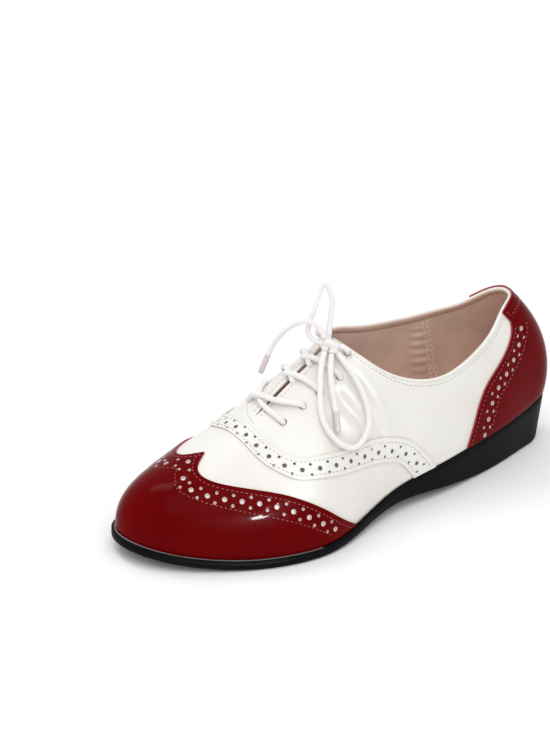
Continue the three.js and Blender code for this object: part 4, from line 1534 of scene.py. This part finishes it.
def perforations(chart, line, middle, spacing, skip):
    """Big holes along a line with a pair of small ones between them. The first hole lies at the line's
    point of index middle, moved by spacing's shift; the others follow both ways."""
    shift, first, pitch, growth = spacing
    run = run_along(chart.point(line))
    number = np.arange(40)
    ahead = first + pitch * number + growth * number**2
    centre = run[middle] + shift
    at = np.concatenate([centre - ahead[::-1], [centre], centre + ahead])
    at = at[(at > skip) & (at < run[-1] - skip)]

    holes = [(place, BIG_HOLE / 2) for place in at_lengths(line, run, at)]
    between = np.concatenate([[at[0] - pitch / 2], (at[1:] + at[:-1]) / 2, [at[-1] + pitch / 2]])
    between = between[(between > skip) & (between < run[-1] - skip)]
    middles = at_lengths(line, run, between)
    normal = chart.frame(middles)[3]
    after, before = (chart.point(at_lengths(line, run, between + step)) for step in (0.5, -0.5))
    ahead = after - before
    sideways = unit(np.cross(normal, unit(ahead)))
    for sign in (1, -1):
        holes += [(place, SMALL_HOLE / 2) for place in chart.moved(middles, sideways * sign * SMALL_OFFSET)]
    return holes


RED_NAMES = {
    "wing_cap": "wing_cap_leather",
    "heel_counter": "counter_leather",
    "heel_tab": "heel_tab_leather",
}


def red_panel(node, chart, outline, holes, grid, scale, proud=0.0):
    """A patent piece over its CAD node, with pale walls in its holes"""
    lifts = (OVERLAY_TOP + proud, OVERLAY_BOTTOM)
    kinds = [RED, RED_EDGE, PALE_EDGE]
    panel(RED_NAMES[node], chart, outline, holes, grid, scale, lifts, kinds, [node])


def red_seam(name, runs, proud=0.0):
    seam(name, runs, OVERLAY_TOP + proud, THREAD_PINK, "red_patent", *FINE_STITCH)


def make_cap():
    edge = along_arch(CAP_FOOT, 2 - CAP_FOOT, 301)
    edge = np.concatenate([edge[:150], [[turn_of(cap_outer(1.0)), 1.0]], edge[151:]])
    outer_run = np.linspace(CAP_TIP, edge[0, 0], 110)[:-1]
    inner_run = np.linspace(edge[-1, 0], CAP_TIP, 110)[1:]
    round_tip = np.linspace(2 - CAP_FOOT, CAP_FOOT, 17)[1:-1]
    outline_uv = join_runs(
        pairs(outer_run, CAP_FOOT),
        edge,
        pairs(inner_run, 2 - CAP_FOOT),
        pairs(CAP_TIP, round_tip),
    )
    row = along_arch(CAP_ROW_FOOT, 2 - CAP_ROW_FOOT, 601, row_ahead)
    holes = perforations(skin_chart, row, 300, CAP_SPACING, HOLE_MARGIN)
    red_panel("wing_cap", skin_chart, outline_uv, holes, CAP_GRID, CAP_SCALE)
    near = along_arch(CAP_SEAM_FOOT, 1.0, 200)
    far = along_arch(1.0, 2 - CAP_SEAM_FOOT, 200)
    edge_seams = [(skin_chart, skin_chart.beside(line, CAP_SEAM)) for line in (near, far)]
    red_seam("cap_edge_stitches", edge_seams)
    inner_line = along_arch(CAP_INNER_FOOT, 2 - CAP_INNER_FOOT, 400, seam_ahead)
    red_seam("cap_inner_stitches", [(skin_chart, inner_line)])


# The perforated band
band_knots = np.arange(BAND.shape[1], dtype=float)
band_last = band_knots[-1]
front_turn = smooth_curve(band_knots, turn_of(BAND[0]), False, True)
front_arch = smooth_curve(band_knots, BAND[1])
back_turn = smooth_curve(band_knots, turn_of(BAND[2]), False, True)
back_arch = smooth_curve(band_knots, BAND[3])


def band_place(u, v):
    """u runs from the outer side's foot over the ridge to the inner side's; v from front to back"""
    knot_at = np.where(u <= band_last, u, 2 * band_last - u)
    turn = front_turn(knot_at) * (1 - v) + back_turn(knot_at) * v
    arch = front_arch(knot_at) * (1 - v) + back_arch(knot_at) * v
    return turn, np.where(u <= band_last, arch, 2 - arch)


band_chart = Chart(band_place)


def band_line(across, low=BAND_FOOT, count=401):
    return pairs(np.linspace(low, 2 * band_last - low, count), across)


def make_band():
    front = band_line(0.0, count=241)
    back = band_line(1.0, count=241)[::-1]
    first_end = pairs(BAND_FOOT, np.linspace(1, 0, 9)[1:-1])
    far_end = pairs(2 * band_last - BAND_FOOT, np.linspace(0, 1, 9)[1:-1])
    outline_uv = join_runs(front, far_end, back, first_end)
    holes = perforations(band_chart, band_line(BAND_MIDDLE), 200, BAND_SPACING, BAND_MARGIN)
    panel(
        "band_leather",
        band_chart,
        outline_uv,
        holes,
        BAND_GRID,
        BAND_SCALE,
        (OVERLAY_TOP, OVERLAY_BOTTOM),
        [WHITE, WHITE_EDGE, WHITE_EDGE],
        ["perforated_band"],
    )
    strip = [band_line(v, BACKING_FOOT, 201) for v in np.linspace(*BACKING_EDGES, 5)]
    high, low = (np.stack([band_chart.point(line, lift) for line in strip]) for lift in BACKING_LIFTS)
    shell("band_backing", high, low, False, [BACKING])
    seams = [(band_chart, band_line(v, BAND_SEAM_FOOT)) for v in (BAND_SEAM, 1 - BAND_SEAM)]
    seam("band_stitches", seams, OVERLAY_TOP, THREAD_GREY, "white_leather")


# The heel counter and the tab above it: u is the signed turn, positive outside, and v the rise
heel_chart = Chart(lambda u, v: (np.abs(u), np.where(u >= 0, v, 2 - v)))
counter_share = smooth_curve(COUNTER_EDGE[0], COUNTER_EDGE[1])


def tab_foot(signed, gap=0.0):
    """The rise of the tab's lower edge, or of a line under it"""
    turn, side = split_sign(signed)
    return rise_at(turn, side, collar_at(turn, side) - TAB_HEIGHT - gap)


def counter_front(side, count, low=0.0, high=1.0):
    level_at = np.linspace(low, high, count)
    signed = side * turn_of(counter_share(level_at))
    return pairs(signed, np.maximum(level_at * tab_foot(signed, TAB_GAP), HEEL_FOOT))


def make_counter():
    outer = counter_front(1.0, 90)
    inner = counter_front(-1.0, 90)
    top = np.linspace(outer[-1, 0], inner[-1, 0], 70)[1:-1]
    foot = np.linspace(inner[0, 0], outer[0, 0], 120)[1:-1]
    outline_uv = join_runs(
        outer,
        pairs(top, tab_foot(top, TAB_GAP)),
        inner[::-1],
        pairs(foot, HEEL_FOOT),
    )
    holes = []
    seams = []
    for side in (1.0, -1.0):
        front = counter_front(side, 300, *COUNTER_ROW_ENDS)
        share = np.linspace(0, 1, 300)
        away = -(COUNTER_ROW_LOW * (1 - share) + COUNTER_ROW_HIGH * share) * side
        row = heel_chart.beside(front, away[:, None])
        row = row[(row[:, 1] < tab_foot(row[:, 0], COUNTER_ROW_STOP)) & (row[:, 1] > COUNTER_ROW_FOOT)]
        holes += perforations(heel_chart, row, 0, COUNTER_SPACING, HOLE_MARGIN)
        second = heel_chart.beside(front, away[:, None] - COUNTER_SECOND * side)
        under_tab = second[:, 1] < tab_foot(second[:, 0], SECOND_STOP)
        second = second[under_tab & (second[:, 1] > SECOND_FOOT)]
        edge_line = heel_chart.beside(front, -COUNTER_SEAM * side)
        edge_line = edge_line[edge_line[:, 1] < tab_foot(edge_line[:, 0], SEAM_STOP)]
        seams += [(heel_chart, edge_line), (heel_chart, second)]
    red_panel("heel_counter", heel_chart, outline_uv, holes, COUNTER_GRID, HEEL_SCALE)
    red_seam("counter_stitches", seams)


def make_tab():
    across = np.linspace(tab_turn, -tab_turn, 70)
    turn, side = split_sign(across)
    top = rise_at(turn, side, collar_at(turn, side))
    ends = np.linspace(0, 1, 7)[1:-1]
    low = tab_foot(across)
    far_end = low[-1] + (top[-1] - low[-1]) * ends
    near_end = top[0] + (low[0] - top[0]) * ends
    outline_uv = join_runs(
        pairs(across, low),
        pairs(-tab_turn, far_end),
        pairs(across, top)[::-1],
        pairs(tab_turn, near_end),
    )
    red_panel("heel_tab", heel_chart, outline_uv, [], TAB_GRID, HEEL_SCALE, TAB_PROUD)
    line = pairs(across, low + (top - low) * TAB_SEAM)[3:-3]
    bars = []
    over_foot, under_top = TAB_BAR_GAPS
    for end in (tab_turn - TAB_BAR, -tab_turn + TAB_BAR):
        turn, side = split_sign(end)
        rises = (tab_foot(end) + over_foot, rise_at(turn, side, collar_at(turn, side)) - under_top)
        bars.append((heel_chart, pairs(end, np.array(rises))))
    red_seam("tab_stitches", [(heel_chart, line), *bars], TAB_PROUD)


make_cap()
make_band()
make_counter()
make_tab()


# The seams of the white leather: under the collar, beside the throat and round the facing's foot
def collar_seam(first, last):
    turn, side, rise = collar_line(first, last, 300)
    lower = rise - COLLAR_SEAM * rise_per_mm(turn, side, rise)
    return pairs(turn, arch_of(lower, side))


def throat_seam(side):
    low, high = turn_of([THROAT_SEAM_FROM, THROAT_FOOT - THROAT_SEAM_GAP])
    turn = np.linspace(low, high, 200)
    sides = side + 0 * turn
    rise = edge_rise(turn, sides)
    lower = rise - THROAT_SEAM * rise_per_mm(turn, sides, rise)
    return pairs(turn, arch_of(lower, sides))


facing_foot = np.array(FACING_FOOT).T
facing_steps = np.linspace(0, 1, facing_foot.shape[1])
facing_share = smooth_curve(facing_steps, facing_foot[0])
facing_arch = smooth_curve(facing_steps, facing_foot[1])
fine_steps = np.linspace(0, 1, 160)
facing_line = pairs(turn_of(facing_share(fine_steps)), facing_arch(fine_steps))
white_seams = [
    (skin_chart, collar_seam(tab_turn, outer_corner - CORNER_GAP)),
    (skin_chart, collar_seam(-tab_turn, inner_corner + CORNER_GAP)),
    (skin_chart, throat_seam(1.0)),
    (skin_chart, throat_seam(-1.0)),
    (skin_chart, facing_line),
]
seam("upper_stitches", white_seams, 0.0, THREAD_GREY, "white_leather")


def make_zigzag():
    """The double zigzag over the lining's seam, on the inner side of the shoe"""
    top = float(rise_at(turn_of(ZIGZAG_AT), -1.0, inner_collar(turn_of(ZIGZAG_AT))))
    places, tangents, normals = [], [], []
    foot, below_top, step = ZIGZAG_RISES
    for offset in (-ZIGZAG_APART, ZIGZAG_APART):
        rise = np.arange(foot, top - below_top, step)
        swing = np.where(np.arange(len(rise)) % 2 == 0, -ZIGZAG_SWING, ZIGZAG_SWING)
        turn = turn_of(seam_share(rise)) + offset + swing
        points = surface(turn, 2 - rise, -WALL - 0.05)
        places.append((points[1:] + points[:-1]) / 2)
        tangents.append(np.diff(points, axis=0))
        normals.append(-skin_normal(turn[1:], -1.0 + 0 * turn[1:], rise[1:]))
    parts = [np.concatenate(part) for part in (places, tangents, normals)]
    stitch_mesh("lining_zigzag", *parts, THREAD_BEIGE, "lining", *ZIGZAG_STITCH)


make_zigzag()


# The floor, the light and the world
def make_floor():
    low = min(corner[2] for corner in cad_box)
    mesh = bpy.data.meshes.new("floor")
    work = bmesh.new()
    bmesh.ops.create_grid(work, x_segments=8, y_segments=8, size=FLOOR_SIZE)
    work.to_mesh(mesh)
    work.free()
    floor = add_object("floor", mesh)
    floor.location = (0, 0, low - FLOOR_GAP)
    material, shader, add, link = new_material("floor_paper")
    coords = add("ShaderNodeTexCoord").outputs["Object"]
    patches = add("ShaderNodeTexNoise", {"Vector": coords, "Scale": 6.0, "Detail": 3}).outputs["Fac"]
    link(tint(add, ramp(add, patches, 0.3, 0.7), (0.97, 0.97, 0.97), (0.95, 0.95, 0.95)), "Base Color")
    shader.inputs["Roughness"].default_value = 0.9
    mesh.materials.append(material)
    return floor


def soft_light(name, place, size, power, whole):
    """A studio light; one that isn't whole shows only as a glint in the gloss"""
    data = bpy.data.lights.new(name, "AREA")
    data.shape = "RECTANGLE"
    data.size, data.size_y = size
    data.energy = power
    light = add_object(name, data)
    light.location = place
    light.visible_diffuse = whole
    aim = Vector(LIGHT_AIM) - Vector(place)
    light.rotation_euler = aim.to_track_quat("-Z", "Y").to_euler()


make_floor()
for name, values in LIGHTS.items():
    soft_light(name, *values)
world = bpy.data.worlds.new("studio")
world.use_nodes = True
sky = world.node_tree.nodes["Background"]
sky.inputs["Color"].default_value = (1, 1, 1, 1)
sky.inputs["Strength"].default_value = WORLD_LIGHT
bpy.context.scene.world = world
bpy.context.scene.view_settings.view_transform = "Standard"
